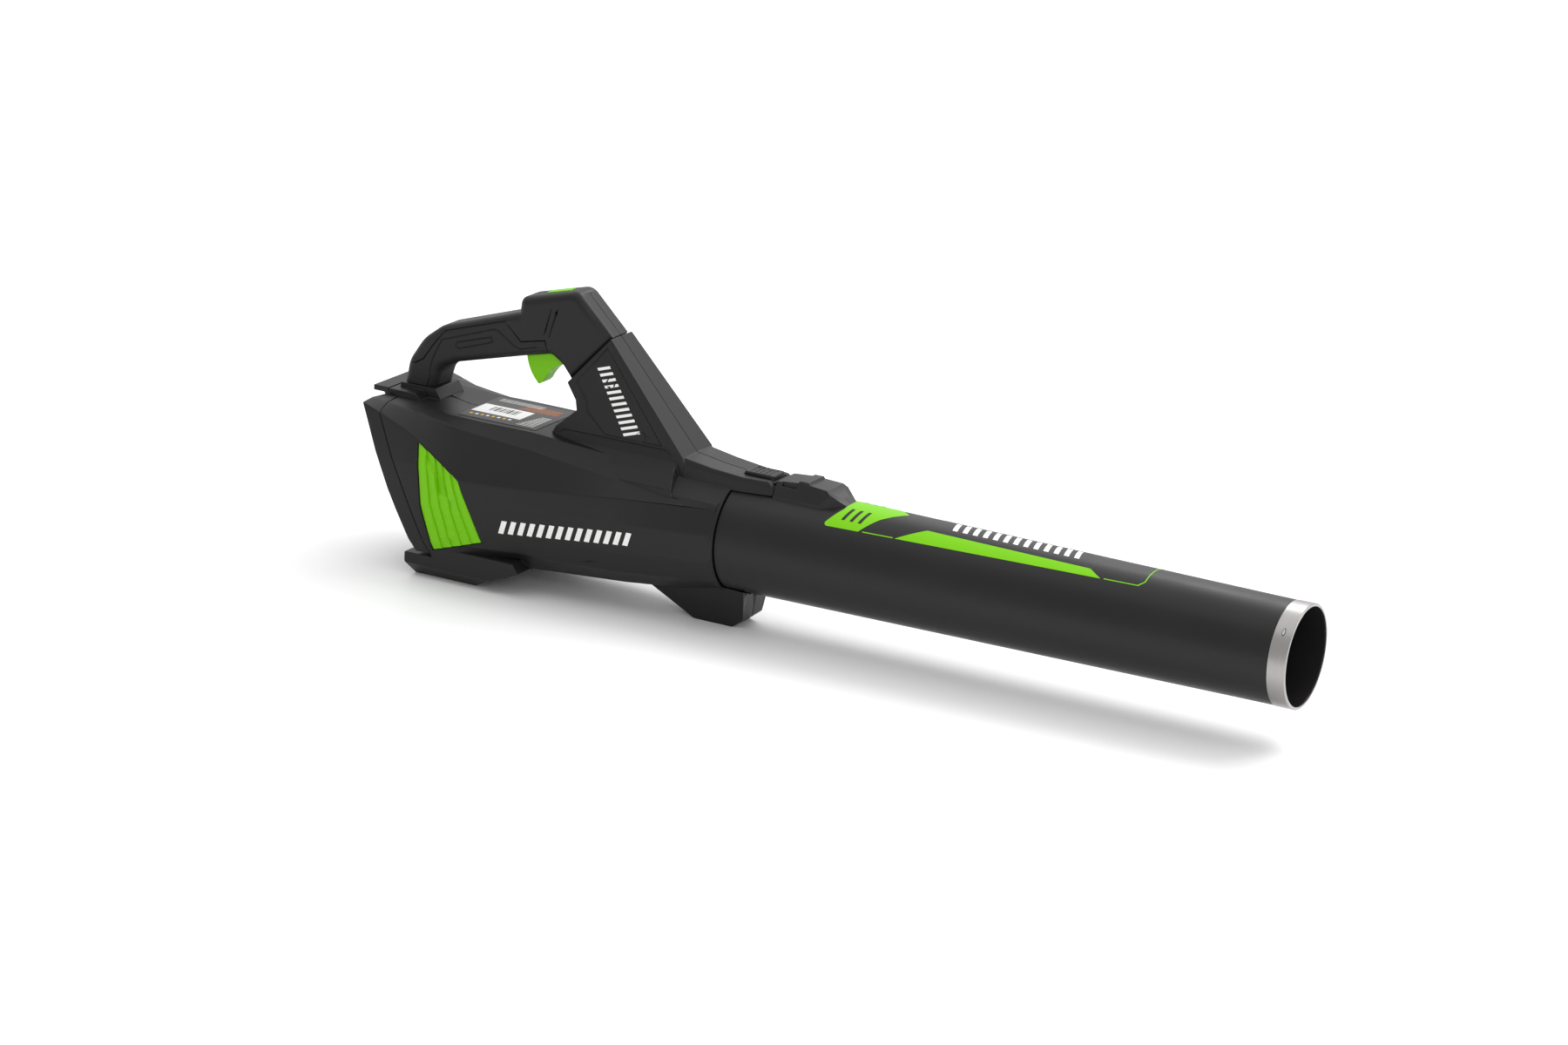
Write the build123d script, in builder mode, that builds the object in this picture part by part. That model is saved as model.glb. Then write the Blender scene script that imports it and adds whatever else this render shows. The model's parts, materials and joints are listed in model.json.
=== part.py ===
"""Cordless leaf blower: axial fan, slide-in battery pack, loop handle and a long tube.

Frame: +X runs along the tube towards its mouth, +Z is up and y = 0 is the plane where the two
housing halves meet.  The floor is z = 0.  Lengths are millimetres.  Outlines are drawn from the
joint point, where the tube's axis meets the front rim of the housing.
"""

import os
from math import atan2, cos, degrees, radians, sin

from build123d import *

os.makedirs("parts", exist_ok=True)

# ---- overall sizes
tube_reach = 538.0  # joint plane to the mouth of the tube
body_reach = 367.0  # joint plane to the rear edge of the battery latch
axis_height = 82.0  # tube axis above the floor
joint_x = (body_reach - tube_reach) / 2

# ---- clearances
gap = 0.3  # between neighbouring pieces
pin_gap = 0.05  # radial, round a pin or a shaft
seat_gap = 0.3  # round a piece that is trapped inside the shells

# ---- tube
tube_r = 50.0
tube_tip_r = 45.2
tube_wall = 2.4
spigot_length = 34.0
spigot_wall = 1.8
boss_start = 40.6
boss_length = 67.0
boss_top = 61.0
boss_half_width = 22.0
boss_tip_half_width = 9.0

# ---- nozzle ring
ring_length = 16.0
ring_wall = 0.8
ring_lip = 2.6

# ---- fan duct and housing rim
duct_wall = 2.0
duct_socket_r = tube_r - tube_wall + 0.1
duct_r = duct_socket_r + duct_wall
duct_bore_r = duct_socket_r - 1.5
duct_rear = -185.0
rim_r = 52.6
rim_length = 45.0

# ---- housing
wall = 2.6
deck_z = 70.0
label_z = 65.5
belly_z = -58.5
tray_top = -60.0
tray_half_width = 71.0
post_base_half_width = 28.0
post_top_half_width = 18.0
foot_top_half_width = 27.0
foot_half_width = 16.0

# ---- tongue and tube release button
tongue_tip = 40.0
tongue_top = 58.0
tongue_half_width = 20.0
tongue_skin = 1.6
release_length = 30.0
release_width = 22.0
release_centre = 20.0
release_rise = 3.2
release_travel = 2.4
release_flange = 2.0

# ---- handle
handle_half_width = 18.0
handle_edge = 8.0
overmould = 1.7
cover_gap = 0.5
grip_wall = 2.4
groove_width = 0.9
groove_depth = 0.7
seam_low = (-171.0, 111.0)
seam_high = (-131.0, 157.0)
seam_lift = (-0.76 * gap, 0.66 * gap)

# ---- trigger
trigger_x = -182.0
trigger_z = 130.0
trigger_width = 16.0
trigger_pin_r = 2.0
trigger_boss_r = 5.0
trigger_reach = 40.0

# ---- top button
button_centre_x = -194.0
button_length = 25.0
button_width = 13.0
button_rise = 0.8
button_flange = 1.6

# ---- motor and fan
motor_r = 24.0
motor_length = 52.0
motor_front = -64.0
can_wall = 1.6
cup_wall = 2.0
shaft_r = 2.5
bearing_r = 8.0
bearing_width = 5.0
stator_bore = 13.5
stator_length = 30.0
rotor_gap = 0.6
fan_hub_r = 22.0
fan_front = -130.0
fan_length = 28.0
blade_count = 9
vane_count = 7
tip_gap = 0.8

# ---- battery
bay_half_width = 41.0
bay_half_height = 50.0
bay_front = -214.0
bay_wall = 2.0
case_wall = 2.4
cell_r = 9.1
cell_length = 65.0
cell_pitch = 18.7
rear_top = (-356.0, 76.0)
rear_knee = (-320.0, -3.0)
rear_low = (-291.0, -57.5)
seam_top = (-334.0, 63.0)
seam_foot = (-280.0, -49.0)
cap_notch = 62.4
hood_floor = 63.0

# ---- battery latch
latch_half_width = 31.0
latch_top = 75.0
latch_thickness = 5.0

# ---- screws
screw_r = 1.7
screw_head_r = 3.4
screw_head = 2.2
screw_boss_r = 4.6

side = Plane(origin=(joint_x, 0, axis_height), x_dir=(1, 0, 0), z_dir=(0, -1, 0))
plan = Plane(origin=(joint_x, 0, axis_height))
tube_axis = Axis((joint_x, 0, axis_height), (1, 0, 0))


def station(x):
    """The plane across the tube's axis, x from the joint plane."""
    return Plane(origin=(joint_x + x, 0, axis_height), x_dir=(0, 1, 0), z_dir=(1, 0, 0))


def slab(points, half_width, rounding=0.0):
    """A side outline given thickness both ways from the split plane."""
    with BuildPart() as piece:
        with BuildSketch(side) as outline:
            with BuildLine():
                Polyline(*points, close=True)
            make_face()
            if rounding:
                fillet(outline.vertices(), rounding)
        extrude(amount=half_width, both=True)
    return piece.part


def front_slab(points, x_from, x_to):
    """A front outline carried from one station to another."""
    with BuildPart() as piece:
        with BuildSketch(station(x_from)):
            with BuildLine():
                Polyline(*points, close=True)
            make_face()
        extrude(amount=x_to - x_from)
    return piece.part


def turned(points):
    """A profile of (x, radius) points turned about the tube's axis."""
    with BuildPart() as piece:
        with BuildSketch(side):
            with BuildLine():
                Polyline(*points, close=True)
            make_face()
        revolve(axis=tube_axis)
    return piece.part


def disc(x_from, x_to, r):
    """A round bar on the tube's axis."""
    with BuildPart() as piece:
        with BuildSketch(station(x_from)):
            Circle(r)
        extrude(amount=x_to - x_from)
    return piece.part


def cross_bar(x, z, r, y_from, y_to):
    """A round bar along Y."""
    with BuildPart() as piece:
        with BuildSketch(side.offset(-y_from)):
            with Locations((x, z)):
                Circle(r)
        extrude(amount=y_from - y_to)
    return piece.part


def block(x_range, y_range, z_range):
    """A box from its limits, measured from the joint point."""
    centre = [(low + high) / 2 for low, high in (x_range, y_range, z_range)]
    with BuildPart(plan) as piece:
        with Locations(tuple(centre)):
            Box(x_range[1] - x_range[0], y_range[1] - y_range[0], z_range[1] - z_range[0])
    return piece.part


def coil_spring(origin, direction, radius, wire_r, height, turns):
    """A helical spring that starts at origin and runs along direction."""
    with BuildPart() as piece:
        with BuildLine() as path:
            Helix(height / turns, height, radius, center=origin, direction=direction)
        with BuildSketch(Plane(origin=path.line @ 0, z_dir=path.line % 0)):
            Circle(wire_r)
        sweep(is_frenet=True)
    return piece.part


def save(piece, label):
    piece.label = label
    export_step(piece, f"parts/{label}.step")


def halves(shell):
    """The part of a shell on each side of the split plane."""
    right = split(shell, bisect_by=Plane.XZ, keep=Keep.TOP)
    left = split(shell, bisect_by=Plane.XZ, keep=Keep.BOTTOM)
    if right.center().Y > left.center().Y:
        right, left = left, right
    return right, left


# ---- body form: deck edge, shoulder, crease, side and belly at each station
body_stations = [
    (-367, [(33, deck_z - 1), (54, 72.5), (70, 74), (74, 30), (75, -20), (74, -46), (70, belly_z)]),
    (-340, [(33, deck_z), (54, 69.5), (71.5, 66), (76, 30), (77, -20), (75.5, -46), (71, belly_z)]),
    (-303, [(36, deck_z - 1), (54, 65), (74, 53), (77.5, 26), (77, -20), (75.5, -46), (71, belly_z)]),
    (-283, [(42, label_z), (56, 62), (75, 42), (78, 24), (77, -20), (75, -46), (71, belly_z)]),
    (-245, [(44, label_z), (56, 57.5), (77, 19), (77.5, 8), (74, -20), (71.5, -44), (67, belly_z)]),
    (-192, [(43, label_z), (55, 53.5), (70, 20), (71, 2), (68, -22), (63, -42), (49, belly_z)]),
    (-97, [(28, 54), (47, 40), (60, 27), (62, 5), (59, -22), (51, -42), (32, -57)]),
    (-3, [(16, 52), (41, 35), (44, 30.5), (52.6, 8), (51, -16), (39, -36), (16, -51.5)]),
]


def shrunk(points, inset):
    """A closed outline with every side moved inwards by inset, corner for corner."""
    pairs = list(zip(points, points[1:] + points[:1]))
    area = sum(here[0] * after[1] - after[0] * here[1] for here, after in pairs)
    inset = inset if area < 0 else -inset
    moved = []
    for before, here, after in zip(points[-1:] + points[:-1], points, points[1:] + points[:1]):
        in_x, in_z = here[0] - before[0], here[1] - before[1]
        out_x, out_z = after[0] - here[0], after[1] - here[1]
        in_length, out_length = (in_x**2 + in_z**2) ** 0.5, (out_x**2 + out_z**2) ** 0.5
        in_x, in_z, out_x, out_z = in_x / in_length, in_z / in_length, out_x / out_length, out_z / out_length
        share = inset / (1 + in_x * out_x + in_z * out_z)
        moved.append((here[0] + (in_z + out_z) * share, here[1] - (in_x + out_x) * share))
    return moved


def body_form(inset):
    """The faceted body, or the same form shrunk by inset."""
    with BuildPart() as form:
        for x, edge in body_stations:
            outline = edge + [(-y, z) for y, z in reversed(edge)]
            with BuildSketch(station(x)):
                with BuildLine():
                    Polyline(*shrunk(outline, inset), close=True)
                make_face()
        loft(ruled=True)
    return form.part


post_outline = [
    (-186, 45),
    (-179, deck_z),
    (-159, 88),
    (-161, 97),
    seam_low,
    seam_high,
    (-48, 65.5),
    (-40, 45),
]
tongue_outline = [
    (-90, 30),
    (-60, 63),
    (-48, 65.5),
    (-20, 61),
    (10, tongue_top),
    (34, tongue_top),
    (tongue_tip, 50),
    (tongue_tip, 30),
]
foot_outline = [(-84, -52), (-34, -axis_height), (5, -axis_height), (16, -73), (19, -45), (-60, -40)]
tray_outline = [
    (-303, tray_top),
    (-303, -68),
    (-298, -axis_height),
    (-234, -axis_height),
    (-217, -72),
    (-184, belly_z),
    (-190, -50),
    (-297, -50),
]


def post_form(inset):
    """The leaning post, thinner at its top than at its base."""
    with BuildPart() as form:
        with BuildSketch(side):
            with BuildLine():
                Polyline(*post_outline, close=True)
            make_face()
            if inset:
                offset(amount=-inset, kind=Kind.INTERSECTION)
        extrude(amount=post_base_half_width, both=True)
        with BuildSketch(station(-260)):
            with BuildLine():
                Polyline(
                    (post_base_half_width - inset, 40),
                    (post_base_half_width - inset, 50),
                    (post_top_half_width - inset, 158),
                    (-post_top_half_width + inset, 158),
                    (-post_base_half_width + inset, 50),
                    (-post_base_half_width + inset, 40),
                    close=True,
                )
            make_face()
        extrude(amount=300, mode=Mode.INTERSECT)
    return form.part


flare_outline = [(-200, 35), (-200, 50), (-181, 62), (-168, 70), (-66, 70), (-56, 64), (-52, 54), (-46, 35)]
flare_front = [(26.3, 70), (29, 61), (36, 52), (46.5, 41), (46.5, 30)]
panel_outline = [(-133.8, 148.3), (-161.4, 113.8), (-149.5, 98), (-148.5, 90), (-128, 72), (-70, 72)]
panel_depth = 0.8


def flare_form(inset):
    """The foot of the post, spread out over the shoulders."""
    front = flare_front + [(-y, z) for y, z in reversed(flare_front)]
    return slab(shrunk(flare_outline, inset), 60) & front_slab(shrunk(front, inset), -230, -20)


body_outer = body_form(0)
body_inner = body_form(wall)
body_seat = body_form(wall + seat_gap)
post_outer = post_form(0)
post_inner = post_form(wall)

seam_slope = (seam_foot[0] - seam_top[0]) / (seam_foot[1] - seam_top[1])


def seam_x(z, ahead=0.0):
    """Where the battery seam crosses height z."""
    return seam_top[0] + seam_slope * (z - seam_top[1]) + ahead


def behind_seam(ahead, top, low=-100.0):
    """Everything behind the battery seam, moved ahead by a distance and up to a height."""
    return slab([(seam_x(top, ahead), top), (seam_x(low, ahead), low), (-420, low), (-420, top)], 120)


# ---- housing shells
foot_front = [
    (foot_top_half_width, -40),
    (foot_half_width, -axis_height),
    (-foot_half_width, -axis_height),
    (-foot_top_half_width, -40),
]
tongue_sections = [
    (-90, [(29, 30), (28, 60), (23, 75)]),
    (-52, [(28, 30), (27, 60), (22, 70)]),
    (tongue_tip, [(tongue_half_width + 2, 30), (tongue_half_width, 53), (tongue_half_width - 5, 62)]),
]
tray_front = [
    (tray_half_width, -50),
    (tray_half_width, -70),
    (tray_half_width - 12, -axis_height),
    (-tray_half_width + 12, -axis_height),
    (-tray_half_width, -70),
    (-tray_half_width, -50),
]
foot_form = slab(foot_outline, 60) & front_slab(foot_front, -100, 40)
with BuildPart() as tongue_loft:
    for x, edge in tongue_sections:
        with BuildSketch(station(x)):
            with BuildLine():
                Polyline(*(edge + [(-y, z) for y, z in reversed(edge)]), close=True)
            make_face()
    loft(ruled=True)
tongue_form = slab(tongue_outline, 60) & tongue_loft.part
tray_form = slab(tray_outline, 90) & front_slab(tray_front, -320, -150)
tray_form = tray_form - (behind_seam(gap / 2, 0) & block((-420, 0), (-120, 120), (tray_top, 0)))
hood_outline = [(-350, hood_floor), (-350, latch_top), (-322, latch_top), (-316, deck_z),
    (-316, hood_floor)]
hood_form = slab(hood_outline, 33)
pedestal_form = slab([(-346, 66), (-345, 79), (-309, 79), (-303, 70), (-303, 60), (-340, 60)], 20, 1.5)
bay_clear = block((-420, bay_front), (-bay_half_width, bay_half_width), (-bay_half_height, bay_half_height))

handle_points = [
    (-344, 79 + gap, 0),
    (-341, 100, 30),
    (-327, 122, 40),
    (-308, 137, 30),
    (-228, 163.5, 3),
    (-226.5, 177.6, 7),
    (-169, 193, 12),
    (seam_high[0] + seam_lift[0], seam_high[1] + seam_lift[1], 0),
    (seam_low[0] + seam_lift[0], seam_low[1] + seam_lift[1], 0),
    (-181, 123, 6),
    (-193, 131, 8),
    (-222, 124, 30),
    (-290, 106, 25),
    (-307, 97, 12),
    (-312, 79 + gap, 0),
]


def handle_form(inset):
    """Head and grip in one bent bar with rounded long edges."""
    with BuildPart() as form:
        with BuildSketch(side) as outline:
            with BuildLine():
                Polyline(*[(x, z) for x, z, _ in handle_points], close=True)
            make_face()
            for x, z, rounding in handle_points:
                if rounding:
                    fillet(outline.vertices().sort_by_distance((x, z, 0))[0], rounding)
            if inset:
                offset(amount=-inset, kind=Kind.INTERSECTION)
        extrude(amount=handle_half_width - inset, both=True)
        flanks = form.faces().filter_by(Axis.Y)
        ends = form.faces().filter_by(Axis.Z)
        kept = [edge for edge in flanks.edges() if edge.length > 3 and edge not in ends.edges()]
        fillet(kept, handle_edge - inset if inset < handle_edge - 1 else 1)
    return form.part


# ---- housing halves
rim_bore = duct_r + seat_gap
tube_pass = tube_r + gap + 0.2
tray_inner = slab(
    [(-288, -50), (-288, -axis_height + wall), (-235, -axis_height + wall), (-219, -69.5),
        (-200, -56), (-200, -50)],
    tray_half_width - 14 - wall,
)
foot_inner = slab(
    [(-62, -57), (-30, -axis_height + wall), (2, -axis_height + wall), (8, -70), (9, -57)],
    foot_half_width - wall,
)
louver_outline = [(-291, 45.5), (-246, 17.5), (-224, -37.5), (-273, -53), (-285.5, -11)]
sides_only = block((-420, 0), (-120, 120), (-100, 100)) - block((-420, 0), (-60, 60), (-100, 100))
release_front = release_centre + release_length / 2
release_rear = release_centre - release_length / 2
pocket_top = tongue_top - tongue_skin
pocket_floor = pocket_top - release_flange - release_travel - gap
release_window = block(
    (release_rear - gap, release_front + gap),
    (-release_width / 2 - gap, release_width / 2 + gap),
    (pocket_floor, tongue_top + 10),
)
release_pocket = block(
    (release_rear - 2 - gap, release_front + 2 + gap),
    (-release_width / 2 - 2 - gap, release_width / 2 + 2 + gap),
    (pocket_floor, pocket_top),
)
latch_pin_x, latch_pin_z, latch_pin_r = -346.5, 68.3, 1.2
latch_barrel_r = 2.6
latch_cavity = block((-352, latch_pin_x + 3.2), (-27, 27), (hood_floor + 1.8, latch_top - 2.8))
latch_pin_hole = cross_bar(latch_pin_x, latch_pin_z, latch_pin_r + pin_gap, -30, 30)
body_screws = [(-28, -68), (-262, -71), (-198, 60), (-306, 60), (-92, 76), (-127, 118)]

housing_outer = (body_outer - behind_seam(gap / 2, 100)) + post_outer + flare_form(0)
housing_outer = housing_outer + tongue_form + foot_form + tray_form
housing_outer = housing_outer + hood_form + pedestal_form + disc(-rim_length, 0, rim_r)
bosses = [cross_bar(x, z, screw_boss_r, -90, 90) & housing_outer for x, z in body_screws]
housing_shell = housing_outer - body_inner - post_inner - flare_form(wall) - tray_inner - foot_inner
housing_shell = housing_shell - ((post_outer - post_form(panel_depth)) & slab(panel_outline, 60))
housing_shell = housing_shell + (disc(-rim_length, 0, rim_r) - disc(-rim_length, 0, rim_bore))
for boss in bosses:
    housing_shell = housing_shell + boss
housing_shell = housing_shell - disc(-rim_length - 60, 1, rim_bore) - disc(0, 60, tube_pass)
housing_shell = housing_shell - (slab(louver_outline, 120) & sides_only)
housing_shell = housing_shell - release_window - release_pocket - latch_cavity - latch_pin_hole


def screw_holes(x, z, seat_y, depth):
    """Counterbore and clearance hole from the left, pilot hole in the right half."""
    bore = cross_bar(x, z, screw_head_r + gap, seat_y, 100)
    return bore + cross_bar(x, z, screw_r + pin_gap, -depth - 0.5, seat_y)


def screw(x, z, seat_y, depth):
    """A pan-head screw whose head rests on the seat of its counterbore."""
    head = cross_bar(x, z, screw_head_r, seat_y, seat_y + screw_head)
    shank = cross_bar(x, z, screw_r, -depth, seat_y)
    slot = cross_bar(x, z, 1.1, seat_y + 1.0, seat_y + screw_head + 1)
    return head + shank - slot


body_seat_y, handle_seat_y, screw_depth = 11.0, 9.0, 10.0
for x, z in body_screws:
    housing_shell = housing_shell - screw_holes(x, z, body_seat_y, screw_depth)
housing_right, housing_left = halves(housing_shell)
save(housing_right, "housing_right")
save(housing_left, "housing_left")

# ---- handle halves, grip cover, trigger and its pin
cavity = handle_form(overmould + grip_wall)
cover_outline = [
    (-360, 98),
    (-332, 99),
    (-324, 104),
    (-312, 122),
    (-302, 134),
    (-240, 154),
    (-236, 150),
    (-223, 138),
    (-198, 143.5),
    (-194, 128),
    (-200, 60),
    (-360, 60),
]
cover_zone = slab(cover_outline, 40)
handle_outer, grip_core = handle_form(0), handle_form(overmould)
handle_shell = (handle_outer - cover_zone) + (grip_core & cover_zone)
handle_screws = [(-158, 165), (-290, 120), (-325, 90)]
handle_bosses = [cross_bar(x, z, screw_boss_r, -40, 40) & handle_shell for x, z in handle_screws]
handle_shell = handle_shell - cavity
for boss in handle_bosses:
    handle_shell = handle_shell + boss
slot_half = trigger_width / 2 + gap
handle_shell = handle_shell - block((trigger_x - trigger_reach - 0.8, trigger_x),
    (-slot_half, slot_half), (95, 137))
handle_shell = handle_shell - cross_bar(trigger_x, trigger_z, trigger_boss_r + 0.5, -slot_half, slot_half)
handle_shell = handle_shell - cross_bar(trigger_x, trigger_z, trigger_pin_r + pin_gap, -16, 16)
button_tilt = degrees(atan2(11.5, 43.0))
button_z = 181.5 + (button_centre_x + 212) * 11.5 / 43.0
button_plane = Plane(
    origin=(joint_x + button_centre_x, 0, axis_height + button_z),
    x_dir=(cos(radians(button_tilt)), 0, sin(radians(button_tilt))),
    z_dir=(-sin(radians(button_tilt)), 0, cos(radians(button_tilt))),
)


def on_button(length, width, low, high, rounding=0.0):
    """A plate square to the top button's travel."""
    with BuildPart() as piece:
        with BuildSketch(button_plane.offset(low)):
            if rounding:
                RectangleRounded(length, width, rounding)
            else:
                Rectangle(length, width)
        extrude(amount=high - low)
    return piece.part


head_wall = overmould + grip_wall
button_window = on_button(button_length + 2 * gap, button_width + 2 * gap, -8, 5, 3 + gap)
handle_shell = handle_shell - button_window
for x, z in handle_screws:
    handle_shell = handle_shell - screw_holes(x, z, handle_seat_y, screw_depth)


def groove(points, width, depth, close=False):
    """A shallow groove along a side outline, cut into both flanks of the handle."""
    with BuildPart() as piece:
        with BuildSketch(side):
            with BuildLine() as path:
                Polyline(*points, close=close)
            trace(path.line, line_width=width)
        extrude(amount=handle_half_width + 1, both=True)
    return piece.part - block((-400, -100),
        (-handle_half_width + depth, handle_half_width - depth), (0, 220))


head_slots = groove([(-193, 174), (-200, 147)], groove_width, groove_depth)
head_slots = head_slots + groove([(-187, 174), (-194, 147)], groove_width, groove_depth)
handle_shell = handle_shell - head_slots
handle_right, handle_left = halves(handle_shell)
save(handle_right, "handle_right")
save(handle_left, "handle_left")

grip_cover = (handle_outer - grip_core) & slab(shrunk(cover_outline, cover_gap), 40)
grip_cover = grip_cover - block((trigger_x - trigger_reach - 1, -150), (-slot_half, slot_half), (95, 145))
inner_line = [(-317, 92), (-314, 106), (-305, 125), (-252, 144)]
inner_line = inner_line + [(-247, 144), (-230, 133), (-224, 131), (-206, 136)]
grip_cover = grip_cover - groove(inner_line, groove_width, groove_depth)
oblong = [(-291, 122), (-289, 125.5), (-254, 136.5), (-252, 132), (-287, 120)]
grip_cover = grip_cover - groove(oblong, groove_width, groove_depth, close=True)
for x, z in handle_screws:
    grip_cover = grip_cover - cross_bar(x, z, screw_head_r + gap, handle_seat_y, 100)
save(grip_cover, "grip_cover")

screws = Compound(
    children=[screw(x, z, body_seat_y, screw_depth) for x, z in body_screws]
    + [screw(x, z, handle_seat_y, screw_depth) for x, z in handle_screws]
)
save(screws, "housing_screws")

with BuildPart() as trigger:
    with BuildSketch(side):
        with BuildLine():
            rear = (trigger_x - trigger_reach, trigger_z + 2)
            tip = (trigger_x - trigger_reach * cos(radians(49)),
                trigger_z - trigger_reach * sin(radians(49)))
            RadiusArc(rear, tip, -trigger_reach)
            Spline(tip, (-200, 109.5), (-191.5, 118.5), (-183, 122.3), tangents=((1, 0.35), (1, 0.25)))
            Polyline((-183, 122.3), (trigger_x, trigger_z - 4.9), (trigger_x, trigger_z + 4),
                (-204, 134.5), rear)
        make_face()
        with Locations((trigger_x, trigger_z)):
            Circle(trigger_boss_r)
    extrude(amount=trigger_width / 2, both=True)
    with BuildSketch(side):
        with Locations((trigger_x, trigger_z)):
            Circle(trigger_pin_r + pin_gap)
    extrude(amount=trigger_width, both=True, mode=Mode.SUBTRACT)
save(trigger.part, "trigger")
save(cross_bar(trigger_x, trigger_z, trigger_pin_r, -15.5, 15.5), "trigger_pin")

cavity_half = handle_half_width - head_wall
switch_bottom = 144.5
switch = block((-227, -193), (-cavity_half + seat_gap, cavity_half - seat_gap), (switch_bottom, 155))
switch = switch + block((-217, -211), (-3, 3), (switch_bottom - 3.5, switch_bottom))
save(switch, "trigger_switch")
trigger_spring_x = -198.0
trigger_spring = coil_spring(
    (joint_x + trigger_spring_x, 0, axis_height + 135.4), (0, 0, 1), 3.0, 0.4, switch_bottom - 136.2, 4
)
save(trigger_spring, "trigger_spring")

flange_top = -head_wall - 0.2
top_button = on_button(button_length, button_width, flange_top, button_rise, 3.0)
top_button = top_button + on_button(button_length + 4, button_width + 4,
    flange_top - button_flange, flange_top)
save(top_button, "top_button")
board_top = flange_top - button_flange - 9.0
save(on_button(30, 2 * (cavity_half - seat_gap), board_top - 1.6, board_top), "speed_board")
spring_seat = button_plane.offset(board_top + 0.7).origin
spring_direction = tuple(button_plane.z_dir)
save(coil_spring(tuple(spring_seat), spring_direction, 3.0, 0.4, 7.6, 4), "top_button_spring")

# ---- tube release button
release_top = tongue_top + release_rise
with BuildPart(plan) as release_button:
    with Locations((release_centre, 0, pocket_top)):
        Box(release_length, release_width, release_top - pocket_top,
            align=(Align.CENTER, Align.CENTER, Align.MIN))
    fillet(release_button.edges().filter_by(Axis.Z), 3)
    chamfer(release_button.faces().sort_by(Axis.Z)[-1].edges(), 1)
    with Locations((release_centre, 0, pocket_top)):
        Box(
            release_length + 4 - 2 * gap,
            release_width + 4 - 2 * gap,
            release_flange,
            align=(Align.CENTER, Align.CENTER, Align.MAX),
        )
    rib_count, rib_pitch = 5, 4.6
    with Locations((release_centre, 0, release_top)):
        with GridLocations(rib_pitch, 1, rib_count, 1):
            Box(1.8, release_width - 4, 1.6, mode=Mode.SUBTRACT)
save(release_button.part, "tube_release_button")
leaf = 0.4
leaf_low = pocket_floor + 0.05
leaf_rise = pocket_top - release_flange - leaf_low - leaf - 0.1
with BuildPart() as release_spring:
    with BuildSketch(side):
        with BuildLine():
            low_left = (release_centre - 13, leaf_low)
            low_right = (release_centre + 13, leaf_low)
            ThreePointArc(low_left, (release_centre, leaf_low + leaf_rise), low_right)
            Line(low_right, (release_centre + 13, leaf_low + leaf))
            ThreePointArc(
                (release_centre + 13, leaf_low + leaf),
                (release_centre, leaf_low + leaf + leaf_rise),
                (release_centre - 13, leaf_low + leaf),
            )
            Line((release_centre - 13, leaf_low + leaf), low_left)
        make_face()
    extrude(amount=5, both=True)
save(release_spring.part, "release_spring")

# ---- battery latch
with BuildPart() as latch:
    with BuildSketch(side):
        with BuildLine():
            Polyline(
                (-body_reach, latch_top),
                (-body_reach, latch_top - latch_thickness),
                (-356, latch_top - latch_thickness),
                (-354, 67),
                (latch_pin_x, latch_pin_z - latch_barrel_r),
                (latch_pin_x, latch_pin_z + latch_barrel_r),
                (-351.3, 71.5),
                (-351.3, latch_top),
                close=True,
            )
        make_face()
        with Locations((latch_pin_x, latch_pin_z)):
            Circle(latch_barrel_r)
    extrude(amount=latch_half_width, both=True)
    with BuildSketch(side):
        with Locations((latch_pin_x, latch_pin_z)):
            Circle(latch_pin_r + pin_gap)
    extrude(amount=latch_half_width, both=True, mode=Mode.SUBTRACT)
latch_part = latch.part - block((-351.3, -340), (26.5, 60), (60, latch_top))
latch_part = latch_part - block((-351.3, -340), (-60, -26.5), (60, latch_top))
latch_part = latch_part - block((-351.3, -340), (-6, 6), (60, latch_top))
save(latch_part, "battery_latch")
save(cross_bar(latch_pin_x, latch_pin_z, latch_pin_r, -29.5, 29.5), "latch_pin")
save(
    coil_spring((joint_x + latch_pin_x, -4.5, axis_height + latch_pin_z), (0, 1, 0), 1.75, 0.3, 9, 5),
    "latch_spring",
)

# ---- side louvers
louver_inner = slab(shrunk(louver_outline, gap), 120) & sides_only & (body_outer - body_inner)
slot_count = 5
for index in range(1, slot_count + 1):
    share = index / (slot_count + 1)
    low = (-270 + 44 * share, -47 + 10 * share)
    high = (-290 + 44 * share, 49 - 26 * share)
    run = ((high[0] - low[0]) ** 2 + (high[1] - low[1]) ** 2) ** 0.5
    step_x, step_z = (high[0] - low[0]) / run, (high[1] - low[1]) / run
    foot = (low[0] + 6 * step_x, low[1] + 6 * step_z)
    top = (high[0] - 6 * step_x, high[1] - 6 * step_z)
    louver_inner = louver_inner - slab(
        [(foot[0] - 1.1, foot[1]), (foot[0] + 1.1, foot[1]), (top[0] + 1.1, top[1]),
            (top[0] - 1.1, top[1])], 120
    )
louver_right, louver_left = halves(louver_inner)
save(louver_right, "louver_right")
save(louver_left, "louver_left")

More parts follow.
